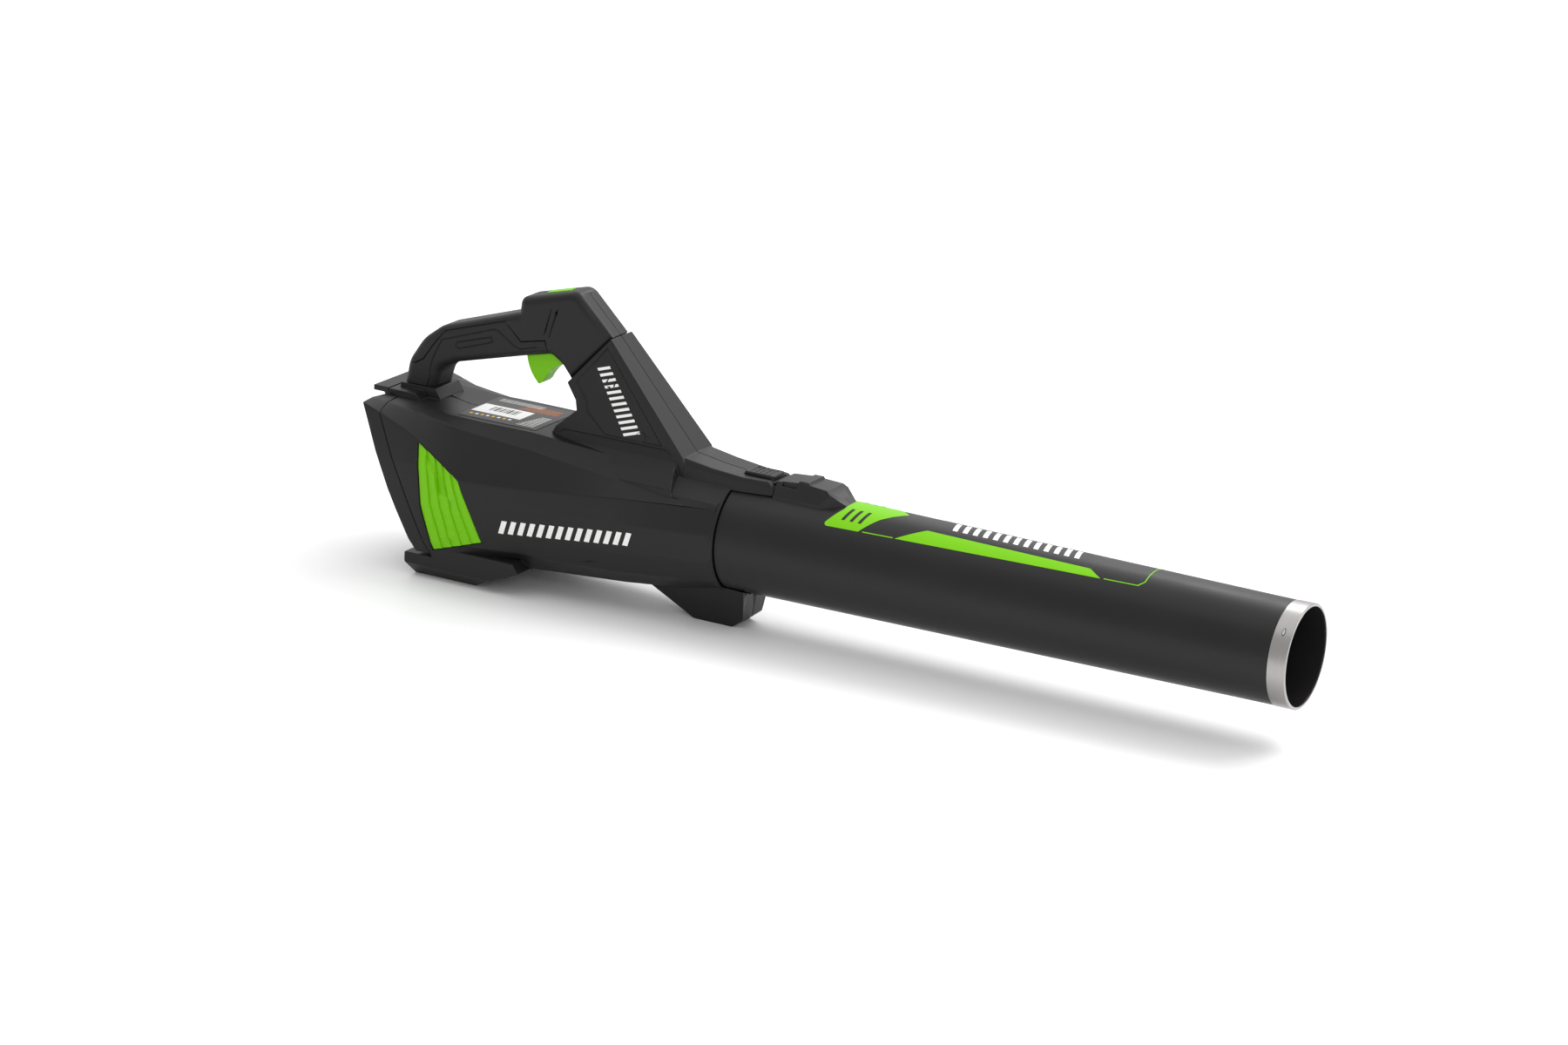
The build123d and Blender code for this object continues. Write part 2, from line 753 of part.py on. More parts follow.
# ---- tube and its steel ring
ring_r = tube_tip_r + 0.4
ring_seat_r = ring_r - ring_wall - 0.05
tube_end = tube_reach - 1.2 - 0.05
rear_inner_r = tube_r - tube_wall - spigot_wall
tip_inner_r = ring_seat_r - 1.6
tube_solid = turned(
    [
        (-spigot_length, 0),
        (-spigot_length, duct_socket_r - gap),
        (gap, duct_socket_r - gap),
        (gap, tube_r),
        (tube_reach - ring_length - 0.3, tube_tip_r),
        (tube_reach - ring_length - 0.3, ring_seat_r),
        (tube_end, ring_seat_r),
        (tube_end, 0),
    ]
)
boss_end = boss_start + boss_length
boss_profile = [
    (boss_start, 30),
    (boss_start, boss_top - 1.5),
    (boss_start + 20, boss_top),
    (boss_start + 22, boss_top + 2.2),
    (boss_start + 30, boss_top + 2.2),
    (boss_start + 32, boss_top),
    (boss_end - 18, boss_top - 1),
    (boss_end, 47),
    (boss_end, 30),
]
boss_front = [
    (boss_half_width, 30),
    (boss_half_width, 48),
    (boss_half_width - 9, 64),
    (-boss_half_width + 9, 64),
    (-boss_half_width, 48),
    (-boss_half_width, 30),
]
boss_plan = [(boss_start, boss_half_width), (boss_end - 22, boss_half_width),
    (boss_end, boss_tip_half_width)]
boss_plan = boss_plan + [(x, -y) for x, y in reversed(boss_plan)]
with BuildPart() as boss_column:
    with BuildSketch(plan):
        with BuildLine():
            Polyline(*boss_plan, close=True)
        make_face()
    extrude(amount=boss_top + 10)
tube_solid = tube_solid + (slab(boss_profile, 60) & front_slab(boss_front, 20, 140) & boss_column.part)
tube_solid = tube_solid - block((boss_start + 5, boss_start + 20), (-17.5, -14),
    (boss_top - 5, boss_top + 5))
tube_hollow = turned(
    [
        (-spigot_length - 1, 0),
        (-spigot_length - 1, rear_inner_r),
        (0, rear_inner_r),
        (tube_end + 1, tip_inner_r),
        (tube_end + 1, 0),
    ]
)
tube_part = tube_solid - tube_hollow
save(tube_part, "tube")
ring = turned(
    [
        (tube_reach - ring_length, ring_r - ring_wall),
        (tube_reach - ring_length, ring_r),
        (tube_reach - 0.6, ring_r),
        (tube_reach, ring_r - 0.6),
        (tube_reach, ring_r - ring_lip),
        (tube_reach - 1.2, ring_r - ring_lip),
        (tube_reach - 1.2, ring_r - ring_wall),
    ]
)
save(ring, "nozzle_ring")

# ---- fan duct with its guide vanes and motor cup, inlet bell
cup_bore = motor_r + pin_gap
cup_r = cup_bore + cup_wall
cup_rear, cup_front = motor_front - motor_length - 2, motor_front - 6
duct = turned(
    [
        (duct_rear, duct_bore_r),
        (duct_rear, duct_r),
        (-1, duct_r),
        (-1, duct_socket_r),
        (-spigot_length - 2, duct_socket_r),
        (-spigot_length - 2, duct_bore_r),
    ]
)
cup = disc(cup_rear, cup_front, cup_r) - disc(cup_rear - 1, cup_front + 1, cup_bore)
with BuildPart() as vane:
    with BuildSketch(plan.offset(cup_r - 0.5)):
        with Locations(((cup_rear + cup_front) / 2, 0)):
            Rectangle(cup_front - cup_rear - 8, 2.2, rotation=12)
    extrude(amount=duct_bore_r - cup_r + 1.2)
duct_part = duct + cup
for index in range(vane_count):
    duct_part = duct_part + vane.part.rotate(tube_axis, 360 / vane_count * index)
save(duct_part, "fan_duct")

bell_rear = -206.0
bell_r = 53.0
bulkhead = block((duct_rear - 6, duct_rear - 3.5), (-90, 90), (-90, 90)) & body_seat
bell = turned(
    [
        (duct_rear - gap, duct_bore_r),
        (duct_rear - gap, duct_r),
        (duct_rear - 6, duct_r),
        (bell_rear + 3, bell_r + 1),
        (bell_rear, bell_r + 1),
        (bell_rear, bell_r - 1),
        (duct_rear - 9, duct_bore_r),
    ]
)
bell_part = (bulkhead - disc(-260, -100, duct_r - 0.5)) + bell
for x, z in body_screws:
    bell_part = bell_part - cross_bar(x, z, screw_boss_r + seat_gap, -90, 90)
save(bell_part, "inlet_bell")

# ---- motor
can_rear = motor_front - motor_length
can = disc(can_rear, motor_front, motor_r) - disc(can_rear + can_wall, motor_front - can_wall,
    motor_r - can_wall)
can = can - disc(can_rear - 1, can_rear + can_wall + 1, bearing_r + pin_gap)
can = can - disc(motor_front - can_wall - 1, motor_front + 1, bearing_r + pin_gap)
save(can, "motor_can")
rear_bearing_x, front_bearing_x = can_rear, motor_front - bearing_width
stator_rear = can_rear + 11
shaft_rear, shaft_front = -172.0, motor_front + 1
stator = disc(stator_rear, stator_rear + stator_length, motor_r - can_wall - pin_gap)
stator = stator - disc(stator_rear - 1, stator_rear + stator_length + 1, stator_bore)
save(stator, "motor_stator")
rotor_r = stator_bore - rotor_gap
rotor = disc(stator_rear - 1, stator_rear + stator_length + 1, rotor_r)
save(rotor - disc(-200, 0, shaft_r + pin_gap), "motor_rotor")
save(disc(shaft_rear, shaft_front, shaft_r), "motor_shaft")
for label, x in (("rear_bearing", rear_bearing_x), ("front_bearing", front_bearing_x)):
    save(disc(x, x + bearing_width, bearing_r) - disc(x - 1, x + bearing_width + 1,
        shaft_r + pin_gap), label)

fan_rear = fan_front - fan_length
fan_tip_r = duct_bore_r - tip_gap
with BuildPart() as blade:
    for height, angle, chord in ((fan_hub_r - 3, 52, 22), (fan_tip_r + 3, 28, 30)):
        with BuildSketch(plan.offset(height)):
            with Locations(((fan_front + fan_rear) / 2, 0)):
                Rectangle(chord, 2.0, rotation=angle)
    loft()
fan = disc(fan_rear, fan_front, fan_hub_r)
for index in range(blade_count):
    fan = fan + (blade.part.rotate(tube_axis, 360 / blade_count * index) & disc(-200, -100, fan_tip_r))
fan = fan - disc(-200, -100, shaft_r + pin_gap)
save(fan, "fan")
spinner = turned(
    [
        (fan_rear - 0.2, fan_hub_r),
        (fan_rear - 6, fan_hub_r - 2),
        (fan_rear - 14, fan_hub_r - 9),
        (fan_rear - 18, 4),
        (fan_rear - 18, 0),
        (shaft_rear - 1, 0),
        (shaft_rear - 1, shaft_r + pin_gap),
        (fan_rear - 0.2, shaft_r + pin_gap),
    ]
)
save(spinner, "fan_spinner")
cone_rear = cup_front + gap
tail_cone = turned(
    [
        (motor_front + gap, 0),
        (motor_front + gap, cup_r),
        (motor_front + 14, cup_r - 4),
        (motor_front + 30, 8),
        (motor_front + 34, 0),
    ]
)
tail_cone = tail_cone - disc(motor_front - 1, motor_front + 3, bearing_r)
sleeve = disc(cone_rear, motor_front + 1, cup_r) - disc(cone_rear - 1, motor_front + 1, motor_r + pin_gap)
save(tail_cone + sleeve, "tail_cone")

# ---- controller on the duct, battery bay and contacts
controller = block((-170, -104), (-22, 22), (40, 60)) - disc(-200, 0, duct_r + seat_gap)
save(controller, "controller")

bay_outer_y, bay_outer_z = bay_half_width + bay_wall, bay_half_height + bay_wall
bay = block((-322, bay_front + bay_wall), (-bay_outer_y, bay_outer_y), (-bay_outer_z, bay_outer_z))
for rib_x in (-284.0, -226.0):
    bay = bay + (block((rib_x, rib_x + 2.5), (-28, 28), (-90, 90)) & body_seat)
bay = bay - bay_clear - behind_seam(2, 100)
contact_half, contact_height = 15.0, 7.0
bay = bay - block((-230, -200), (-contact_half - gap, contact_half + gap),
    (-contact_height - gap, contact_height + gap))
bay = bay - (tray_form & block((-400, 0), (-100, 100), (-100, -56)))
save(bay, "battery_bay")
contacts = block((bay_front + 0.1, -206), (-contact_half, contact_half), (-contact_height, contact_height))
contacts = contacts + block(
    (bay_front + bay_wall + gap, -208), (-contact_half - 4,
        contact_half + 4), (-contact_height - 4, contact_height + 4)
)
blade_pitch = 9.0
blade_positions = [(index - 1) * blade_pitch for index in range(3)]
for y in blade_positions:
    contacts = contacts + block((bay_front - 9, bay_front + 1), (y - 0.4, y + 0.4), (-4, 4))
save(contacts, "battery_contacts")

# ---- battery pack
case_front = bay_front - 1.0
case_y, case_z = bay_half_width - 2 * gap, bay_half_height - 2 * gap
case = block((-350, case_front), (-case_y, case_y), (-case_z, case_z)) - behind_seam(-0.1, 100)
case = case - block(
    (-350, case_front - case_wall), (-case_y + case_wall,
        case_y - case_wall), (-case_z + case_wall, case_z - case_wall)
)
for y in blade_positions:
    case = case - block((case_front - 5, case_front + 1), (y - 1.2, y + 1.2), (-5.5, 5.5))
save(case, "battery_case")
cap_outline = [
    rear_top,
    rear_knee,
    rear_low,
    (seam_x(rear_low[1], -gap), rear_low[1]),
    (seam_x(rear_top[1], -gap), rear_top[1]),
]
cap_inner = slab(shrunk(cap_outline, wall), 120) & body_inner
cap = (body_outer & slab(cap_outline, 120)) - cap_inner
cap_mouth = [(seam_x(40, -6), 40), (seam_x(-40, -6), -40), (-200, -40), (-200, 40)]
cap = cap - slab(cap_mouth, case_y - 6)
cap = cap - block((-420, -300), (-34, 34), (cap_notch - gap, 100))
rib_total = 7
for index in range(rib_total):
    share = (index + 0.7) / rib_total
    x = rear_knee[0] + (rear_low[0] - rear_knee[0]) * share
    z = rear_knee[1] + (rear_low[1] - rear_knee[1]) * share
    cap = cap + cross_bar(x + 0.6, z + 0.3, 1.8, -44, 44)
save(cap, "battery_end_cap")
cell_columns, cell_rows = 4, 3
cell_front = case_front - case_wall - 6.4
with BuildPart() as cells:
    with BuildSketch(station(cell_front)):
        with GridLocations(cell_pitch, cell_pitch, cell_columns, cell_rows):
            Circle(cell_r)
    extrude(amount=-cell_length)
save(cells.part, "battery_cells")
holder_y, holder_z = case_y - case_wall - seat_gap, case_z - case_wall - seat_gap
with BuildPart() as holder:
    for x in (cell_front - 12, cell_front - cell_length + 9):
        with BuildSketch(station(x)):
            Rectangle(2 * holder_y, 2 * holder_z)
            with GridLocations(cell_pitch, cell_pitch, cell_columns, cell_rows):
                Circle(cell_r + 0.1, mode=Mode.SUBTRACT)
        extrude(amount=5)
save(holder.part, "cell_holder")

# ---- label plate on the deck
label_plate = block((-274, -193), (-36, 36), (label_z, label_z + 0.4))
save(label_plate, "deck_label")
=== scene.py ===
import json
import math
from math import radians

import bmesh
import bpy
from bpy.props import FloatProperty, FloatVectorProperty, IntProperty, PointerProperty
from bpy.types import Operator, Panel, PropertyGroup
from mathutils import Matrix, Vector
from mathutils.bvhtree import BVHTree


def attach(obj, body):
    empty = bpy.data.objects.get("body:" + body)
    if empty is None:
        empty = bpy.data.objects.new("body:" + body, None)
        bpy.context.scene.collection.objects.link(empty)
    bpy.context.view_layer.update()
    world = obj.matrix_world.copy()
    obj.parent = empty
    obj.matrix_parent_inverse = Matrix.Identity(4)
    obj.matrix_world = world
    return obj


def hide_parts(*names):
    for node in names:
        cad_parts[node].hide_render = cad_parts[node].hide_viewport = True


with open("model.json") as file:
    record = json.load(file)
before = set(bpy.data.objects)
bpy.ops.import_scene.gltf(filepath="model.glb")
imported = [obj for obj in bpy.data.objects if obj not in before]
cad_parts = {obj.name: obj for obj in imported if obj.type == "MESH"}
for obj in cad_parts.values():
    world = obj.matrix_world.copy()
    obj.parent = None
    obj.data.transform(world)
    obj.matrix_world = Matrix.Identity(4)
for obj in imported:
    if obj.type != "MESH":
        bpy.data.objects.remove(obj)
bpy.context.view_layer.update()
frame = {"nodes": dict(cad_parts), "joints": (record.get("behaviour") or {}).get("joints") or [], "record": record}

bl_info = {
    "name": "Cordless Leaf Blower",
    "version": (1, 0, 0),
    "blender": (4, 5, 0),
    "location": "3D View > Sidebar > Blower",
    "description": "Builds the finished shells, trim, fan and graphics of a battery leaf blower",
    "category": "Object",
}

NODES = frame["nodes"]
SLOT_OF = {part["node"]: part["material_slot"] for part in frame["record"]["subparts"]}
BODY_OF = {}
for body_name, members in frame["record"]["behaviour"]["bodies"].items():
    for member in members:
        BODY_OF[member] = body_name

# The joint point is where the tube's axis meets the housing's front rim.
TRIGGER_PIVOT = next(j["pos_m"] for j in frame["joints"] if j["name"] == "trigger_hinge")
PIVOT_FROM_JOINT = Vector((-0.182, 0.0, 0.130))
JOINT = Vector(TRIGGER_PIVOT) - PIVOT_FROM_JOINT
MM = 0.001


def at(x, y, z):
    """A place given in millimetres from the joint point."""
    return JOINT + Vector((x, y, z)) * MM


# ---------------------------------------------------------------- properties


class BlowerFinish(PropertyGroup):
    """Colours and finishes of the blower."""

    black: FloatVectorProperty(
        name="Black", description="Moulded shells", subtype="COLOR", default=(0.0100, 0.0090, 0.0094)
    )
    rubber: FloatVectorProperty(
        name="Rubber", description="Soft grip cover", subtype="COLOR", default=(0.0115, 0.0106, 0.0112)
    )
    lime: FloatVectorProperty(
        name="Lime",
        description="Louvers, trigger and tube trim",
        subtype="COLOR",
        default=(0.165, 0.500, 0.003),
    )
    steel: FloatVectorProperty(
        name="Steel", description="Nozzle ring", subtype="COLOR", default=(0.42, 0.405, 0.40)
    )
    edge_round: FloatProperty(
        name="Edge Round",
        description="Rounding of the moulded edges",
        subtype="DISTANCE",
        default=0.0009,
        min=0.0,
    )
    grain_scale: FloatProperty(
        name="Grain", description="Grains of the mould texture per metre", default=1500.0, min=1.0
    )


class BlowerTrim(PropertyGroup):
    """Sizes of the graphics, slats and screws."""

    print_lift: FloatProperty(
        name="Print Lift", description="Height of a printed mark", subtype="DISTANCE", default=0.00012
    )
    slat_count: IntProperty(name="Slats", description="Slats in each side louver", default=5, min=2)
    slat_rise: FloatProperty(
        name="Slat Step", description="Depth of the step between slats", subtype="DISTANCE", default=0.0016
    )
    lobe_count: IntProperty(name="Lobes", description="Lobes of the screw recess", default=6, min=4)


class BlowerStage(PropertyGroup):
    """Floor, light and camera."""

    floor_size: FloatProperty(
        name="Floor", description="Side of the floor", subtype="DISTANCE", default=14.0
    )
    room_light: FloatProperty(
        name="Room", description="Brightness of the surroundings", default=0.68, min=0.0
    )
    sky_power: FloatProperty(
        name="Sky", description="Strength of the wide overhead light", default=1.45, min=0.0
    )
    key_power: FloatProperty(
        name="Key Light", description="Power of the rear strip light", unit="POWER", default=22.0
    )
    fill_power: FloatProperty(
        name="Fill Light", description="Power of the front light", unit="POWER", default=10.0
    )
    azimuth: FloatProperty(
        name="Azimuth", description="Camera bearing", subtype="ANGLE", default=radians(27.5)
    )
    elevation: FloatProperty(
        name="Elevation", description="Camera height angle", subtype="ANGLE", default=radians(17.2)
    )
    roll: FloatProperty(name="Roll", description="Camera roll", subtype="ANGLE", default=radians(3.5))
    distance: FloatProperty(
        name="Distance", description="Camera to joint point", subtype="DISTANCE", default=4.366
    )
    shift_right: FloatProperty(
        name="Right",
        description="Joint point right of the view's centre",
        subtype="DISTANCE",
        default=-0.03706,
    )
    shift_up: FloatProperty(
        name="Up",
        description="Joint point above the view's centre",
        subtype="DISTANCE",
        default=-0.01160,
    )
    lens: FloatProperty(
        name="Lens", description="Focal length in millimetres", unit="CAMERA", default=114.0
    )


# ---------------------------------------------------------------- shader groups


def new_group(name, inputs, outputs):
    """An empty shader group with named sockets; returns its tree and end nodes."""
    tree = bpy.data.node_groups.new(name, "ShaderNodeTree")
    for label, kind, value in inputs:
        socket = tree.interface.new_socket(label, in_out="INPUT", socket_type=kind)
        socket.default_value = value
    for label, kind in outputs:
        tree.interface.new_socket(label, in_out="OUTPUT", socket_type=kind)
    return tree, tree.nodes.new("NodeGroupInput"), tree.nodes.new("NodeGroupOutput")


def mould_grain_group():
    """Fine spark-eroded texture of moulded plastic, as a height."""
    tree, start, end = new_group(
        "mould_grain", [("Scale", "NodeSocketFloat", 1500.0)], [("Height", "NodeSocketFloat")]
    )
    place = tree.nodes.new("ShaderNodeTexCoord")
    noise = tree.nodes.new("ShaderNodeTexNoise")
    noise.inputs["Detail"].default_value = 3.0
    noise.inputs["Roughness"].default_value = 0.6
    tree.links.new(place.outputs["Object"], noise.inputs["Vector"])
    tree.links.new(start.outputs["Scale"], noise.inputs["Scale"])
    tree.links.new(noise.outputs["Fac"], end.inputs["Height"])
    return tree


def handling_group():
    """Slow change of roughness and shade where hands and dust have been."""
    tree, start, end = new_group(
        "handling_marks",
        [
            ("Colour", "NodeSocketColor", (0.02, 0.02, 0.02, 1.0)),
            ("Dust", "NodeSocketColor", (0.10, 0.095, 0.09, 1.0)),
            ("Amount", "NodeSocketFloat", 0.08),
            ("Roughness", "NodeSocketFloat", 0.42),
            ("Spread", "NodeSocketFloat", 0.12),
            ("Scale", "NodeSocketFloat", 14.0),
        ],
        [("Colour", "NodeSocketColor"), ("Roughness", "NodeSocketFloat")],
    )
    place = tree.nodes.new("ShaderNodeTexCoord")
    broad = tree.nodes.new("ShaderNodeTexNoise")
    broad.inputs["Detail"].default_value = 4.0
    tree.links.new(place.outputs["Object"], broad.inputs["Vector"])
    tree.links.new(start.outputs["Scale"], broad.inputs["Scale"])
    shape = tree.nodes.new("ShaderNodeMapRange")
    shape.inputs["From Min"].default_value = 0.35
    shape.inputs["From Max"].default_value = 0.70
    tree.links.new(broad.outputs["Fac"], shape.inputs["Value"])
    share = tree.nodes.new("ShaderNodeMath")
    share.operation = "MULTIPLY"
    tree.links.new(shape.outputs["Result"], share.inputs[0])
    tree.links.new(start.outputs["Amount"], share.inputs[1])
    mix = tree.nodes.new("ShaderNodeMix")
    mix.data_type = "RGBA"
    tree.links.new(share.outputs["Value"], mix.inputs["Factor"])
    tree.links.new(start.outputs["Colour"], mix.inputs["A"])
    tree.links.new(start.outputs["Dust"], mix.inputs["B"])
    tree.links.new(mix.outputs["Result"], end.inputs["Colour"])
    rough = tree.nodes.new("ShaderNodeMath")
    rough.operation = "MULTIPLY_ADD"
    tree.links.new(shape.outputs["Result"], rough.inputs[0])
    tree.links.new(start.outputs["Spread"], rough.inputs[1])
    tree.links.new(start.outputs["Roughness"], rough.inputs[2])
    tree.links.new(rough.outputs["Value"], end.inputs["Roughness"])
    return tree


def turned_group():
    """Fine streaks that run round the tube's axis, as left by brushing or turning."""
    tree, start, end = new_group(
        "turned_streaks",
        [("Pitch", "NodeSocketFloat", 2600.0), ("Axis Height", "NodeSocketFloat", 0.082)],
        [("Height", "NodeSocketFloat"), ("Mask", "NodeSocketFloat")],
    )
    place = tree.nodes.new("ShaderNodeTexCoord")
    split = tree.nodes.new("ShaderNodeSeparateXYZ")
    tree.links.new(place.outputs["Object"], split.inputs["Vector"])
    up = tree.nodes.new("ShaderNodeMath")
    up.operation = "SUBTRACT"
    tree.links.new(split.outputs["Z"], up.inputs[0])
    tree.links.new(start.outputs["Axis Height"], up.inputs[1])
    turn = tree.nodes.new("ShaderNodeMath")
    turn.operation = "ARCTAN2"
    tree.links.new(split.outputs["Y"], turn.inputs[0])
    tree.links.new(up.outputs["Value"], turn.inputs[1])
    along = tree.nodes.new("ShaderNodeMath")
    along.operation = "MULTIPLY"
    tree.links.new(split.outputs["X"], along.inputs[0])
    tree.links.new(start.outputs["Pitch"], along.inputs[1])
    join = tree.nodes.new("ShaderNodeCombineXYZ")
    tree.links.new(along.outputs["Value"], join.inputs["X"])
    tree.links.new(turn.outputs["Value"], join.inputs["Y"])
    streak = tree.nodes.new("ShaderNodeTexNoise")
    streak.inputs["Scale"].default_value = 1.0
    streak.inputs["Detail"].default_value = 5.0
    tree.links.new(join.outputs["Vector"], streak.inputs["Vector"])
    tree.links.new(streak.outputs["Fac"], end.inputs["Height"])
    tree.links.new(streak.outputs["Fac"], end.inputs["Mask"])
    return tree


GROUPS = {}


def shared(name):
    """The shader group of that name, built the first time it is asked for."""
    makers = {"grain": mould_grain_group, "handling": handling_group, "turned": turned_group}
    if name not in GROUPS:
        GROUPS[name] = makers[name]()
    return GROUPS[name]


# ---------------------------------------------------------------- materials


def bare_material(name, metallic=0.0, roughness=0.5, specular=0.5):
    """A material with one Principled surface; returns it with its tree and that surface."""
    material = bpy.data.materials.new(name)
    material.use_nodes = True
    surface = material.node_tree.nodes["Principled BSDF"]
    surface.inputs["Metallic"].default_value = metallic
    surface.inputs["Roughness"].default_value = roughness
    surface.inputs["Specular IOR Level"].default_value = specular
    return material, material.node_tree, surface


def add_group(tree, name, **values):
    """Places a shared group in a material, its inputs set by name with _ for a space."""
    node = tree.nodes.new("ShaderNodeGroup")
    node.node_tree = shared(name)
    for label, value in values.items():
        node.inputs[label.replace("_", " ")].default_value = value
    return node


def add_bump(tree, surface, height, strength, distance):
    """Lets a height texture tilt the surface's normal."""
    bump = tree.nodes.new("ShaderNodeBump")
    bump.inputs["Strength"].default_value = strength
    bump.inputs["Distance"].default_value = distance
    tree.links.new(height, bump.inputs["Height"])
    tree.links.new(bump.outputs["Normal"], surface.inputs["Normal"])


def moulded(name, colour, roughness, grain=1500.0, depth=0.00004, dust=0.05, spread=0.08, specular=0.27):
    """Moulded plastic or rubber: mould grain, slow change of gloss and a little dust."""
    material, tree, surface = bare_material(name, 0.0, roughness, specular)
    marks = add_group(
        tree,
        "handling",
        Colour=(*colour, 1.0),
        Dust=(*[min(1.0, part * 1.4 + 0.015) for part in colour], 1.0),
        Amount=dust,
        Roughness=roughness,
        Spread=spread,
    )
    tree.links.new(marks.outputs["Colour"], surface.inputs["Base Color"])
    tree.links.new(marks.outputs["Roughness"], surface.inputs["Roughness"])
    grains = add_group(tree, "grain", Scale=grain)
    add_bump(tree, surface, grains.outputs["Height"], 0.35, depth)
    return material


def turned_metal(name, colour, roughness, pitch=2600.0, depth=0.00002):
    """Metal whose streaks run round the tube's axis."""
    material, tree, surface = bare_material(name, 1.0, roughness)
    streaks = add_group(tree, "turned", Pitch=pitch, Axis_Height=JOINT.z)
    tone = tree.nodes.new("ShaderNodeMix")
    tone.data_type = "RGBA"
    tone.inputs["A"].default_value = (*[part * 0.72 for part in colour], 1.0)
    tone.inputs["B"].default_value = (*colour, 1.0)
    tree.links.new(streaks.outputs["Mask"], tone.inputs["Factor"])
    tree.links.new(tone.outputs["Result"], surface.inputs["Base Color"])
    gloss = tree.nodes.new("ShaderNodeMapRange")
    gloss.inputs["To Min"].default_value = roughness - 0.10
    gloss.inputs["To Max"].default_value = roughness + 0.14
    tree.links.new(streaks.outputs["Mask"], gloss.inputs["Value"])
    tree.links.new(gloss.outputs["Result"], surface.inputs["Roughness"])
    add_bump(tree, surface, streaks.outputs["Height"], 0.5, depth)
    return material


def plain_metal(name, colour, roughness, grain=900.0):
    """Ground or drawn metal with a fine uneven surface."""
    material, tree, surface = bare_material(name, 1.0, roughness)
    marks = add_group(
        tree,
        "handling",
        Colour=(*colour, 1.0),
        Dust=(*[part * 0.6 for part in colour], 1.0),
        Amount=0.5,
        Roughness=roughness,
        Spread=0.15,
        Scale=160.0,
    )
    tree.links.new(marks.outputs["Colour"], surface.inputs["Base Color"])
    tree.links.new(marks.outputs["Roughness"], surface.inputs["Roughness"])
    grains = add_group(tree, "grain", Scale=grain)
    add_bump(tree, surface, grains.outputs["Height"], 0.3, 0.00002)
    return material


MATERIALS = {}


def build_materials(finish):
    """Every finish of the blower, by the name of its slot."""
    black, lime = tuple(finish.black), tuple(finish.lime)
    scale = finish.grain_scale
    MATERIALS.update(
        shell_black=moulded("shell_black", black, 0.40, scale),
        tube_black=moulded(
            "tube_black", tuple(part * 1.1 for part in black), 0.36, scale * 1.3, 0.00002, 0.06
        ),
        grip_rubber=moulded("grip_rubber", tuple(finish.rubber), 0.50, scale * 0.8, 0.00006, 0.10),
        lime=moulded("lime", lime, 0.38, scale, 0.00003, 0.05, specular=0.18),
        lime_print=moulded("lime_print", lime, 0.40, scale * 1.3, 0.00001, 0.03, specular=0.15),
        white_print=moulded("white_print", (0.80, 0.80, 0.79), 0.45, scale, 0.00001, 0.05),
        amber_print=moulded("amber_print", (0.48, 0.16, 0.05), 0.5, scale, 0.00001, 0.05),
        yellow_print=moulded("yellow_print", (0.72, 0.50, 0.04), 0.5, scale, 0.00001, 0.05),
        ring_steel=turned_metal("ring_steel", tuple(finish.steel), 0.30),
        bright_steel=plain_metal("bright_steel", (0.55, 0.55, 0.56), 0.28),
        screw_black=plain_metal("screw_black", (0.05, 0.05, 0.052), 0.38),
        inner_plastic=moulded("inner_plastic", (0.022, 0.022, 0.024), 0.48, scale),
        lamination=turned_metal("lamination", (0.28, 0.17, 0.10), 0.45, 1400.0),
        board=moulded("board", (0.015, 0.11, 0.045), 0.30, scale * 0.6, 0.00003),
        cell_wrap=moulded("cell_wrap", (0.04, 0.16, 0.38), 0.28, scale * 0.4, 0.00003),
        brass=plain_metal("brass", (0.72, 0.52, 0.22), 0.26),
        label_silver=moulded("label_silver", (0.052, 0.050, 0.054), 0.42, scale, 0.00001),
    )


# ---------------------------------------------------------------- mesh helpers


def to_object(mesh_data, name):
    """A linked object at the origin from a finished bmesh."""
    mesh = bpy.data.meshes.new(name)
    mesh_data.to_mesh(mesh)
    mesh_data.free()
    piece = bpy.data.objects.new(name, mesh)
    bpy.context.scene.collection.objects.link(piece)
    return piece


def finish_piece(piece, body, material, sharp=radians(32)):
    """Shades a piece, gives it its material and ties it to its body."""
    for face in piece.data.polygons:
        face.use_smooth = True
    piece.data.set_sharp_from_angle(angle=sharp)
    piece.data.materials.clear()
    piece.data.materials.append(MATERIALS[material])
    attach(piece, body)
    return piece


def joined_copy(node):
    """The node's triangles joined up into flat faces, ready for edge work."""
    mesh = bmesh.new()
    mesh.from_mesh(NODES[node].data)
    bmesh.ops.remove_doubles(mesh, verts=mesh.verts, dist=1e-6)
    bmesh.ops.dissolve_limit(mesh, angle_limit=radians(0.4), verts=mesh.verts, edges=mesh.edges)
    return mesh


def soften(node, width, angle=18.0, shortest=0.004, segments=2):
    """The node again with its long sharp edges rounded as a mould leaves them."""
    mesh = joined_copy(node)
    edges = [
        edge
        for edge in mesh.edges
        if len(edge.link_faces) == 2
        and edge.calc_length() > shortest
        and edge.calc_face_angle(0.0) > radians(angle)
    ]
    bmesh.ops.bevel(
        mesh,
        geom=edges,
        offset=width,
        offset_type="OFFSET",
        segments=segments,
        profile=0.5,
        affect="EDGES",
        clamp_overlap=False,
        loop_slide=True,
    )
    bmesh.ops.triangulate(mesh, faces=[face for face in mesh.faces if len(face.verts) > 4])
    piece = to_object(mesh, node + "_soft")
    weighting = piece.modifiers.new("weighting", "WEIGHTED_NORMAL")
    weighting.keep_sharp = True
    finish_piece(piece, BODY_OF[node], SLOT_OF[node])
    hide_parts(node)
    return piece


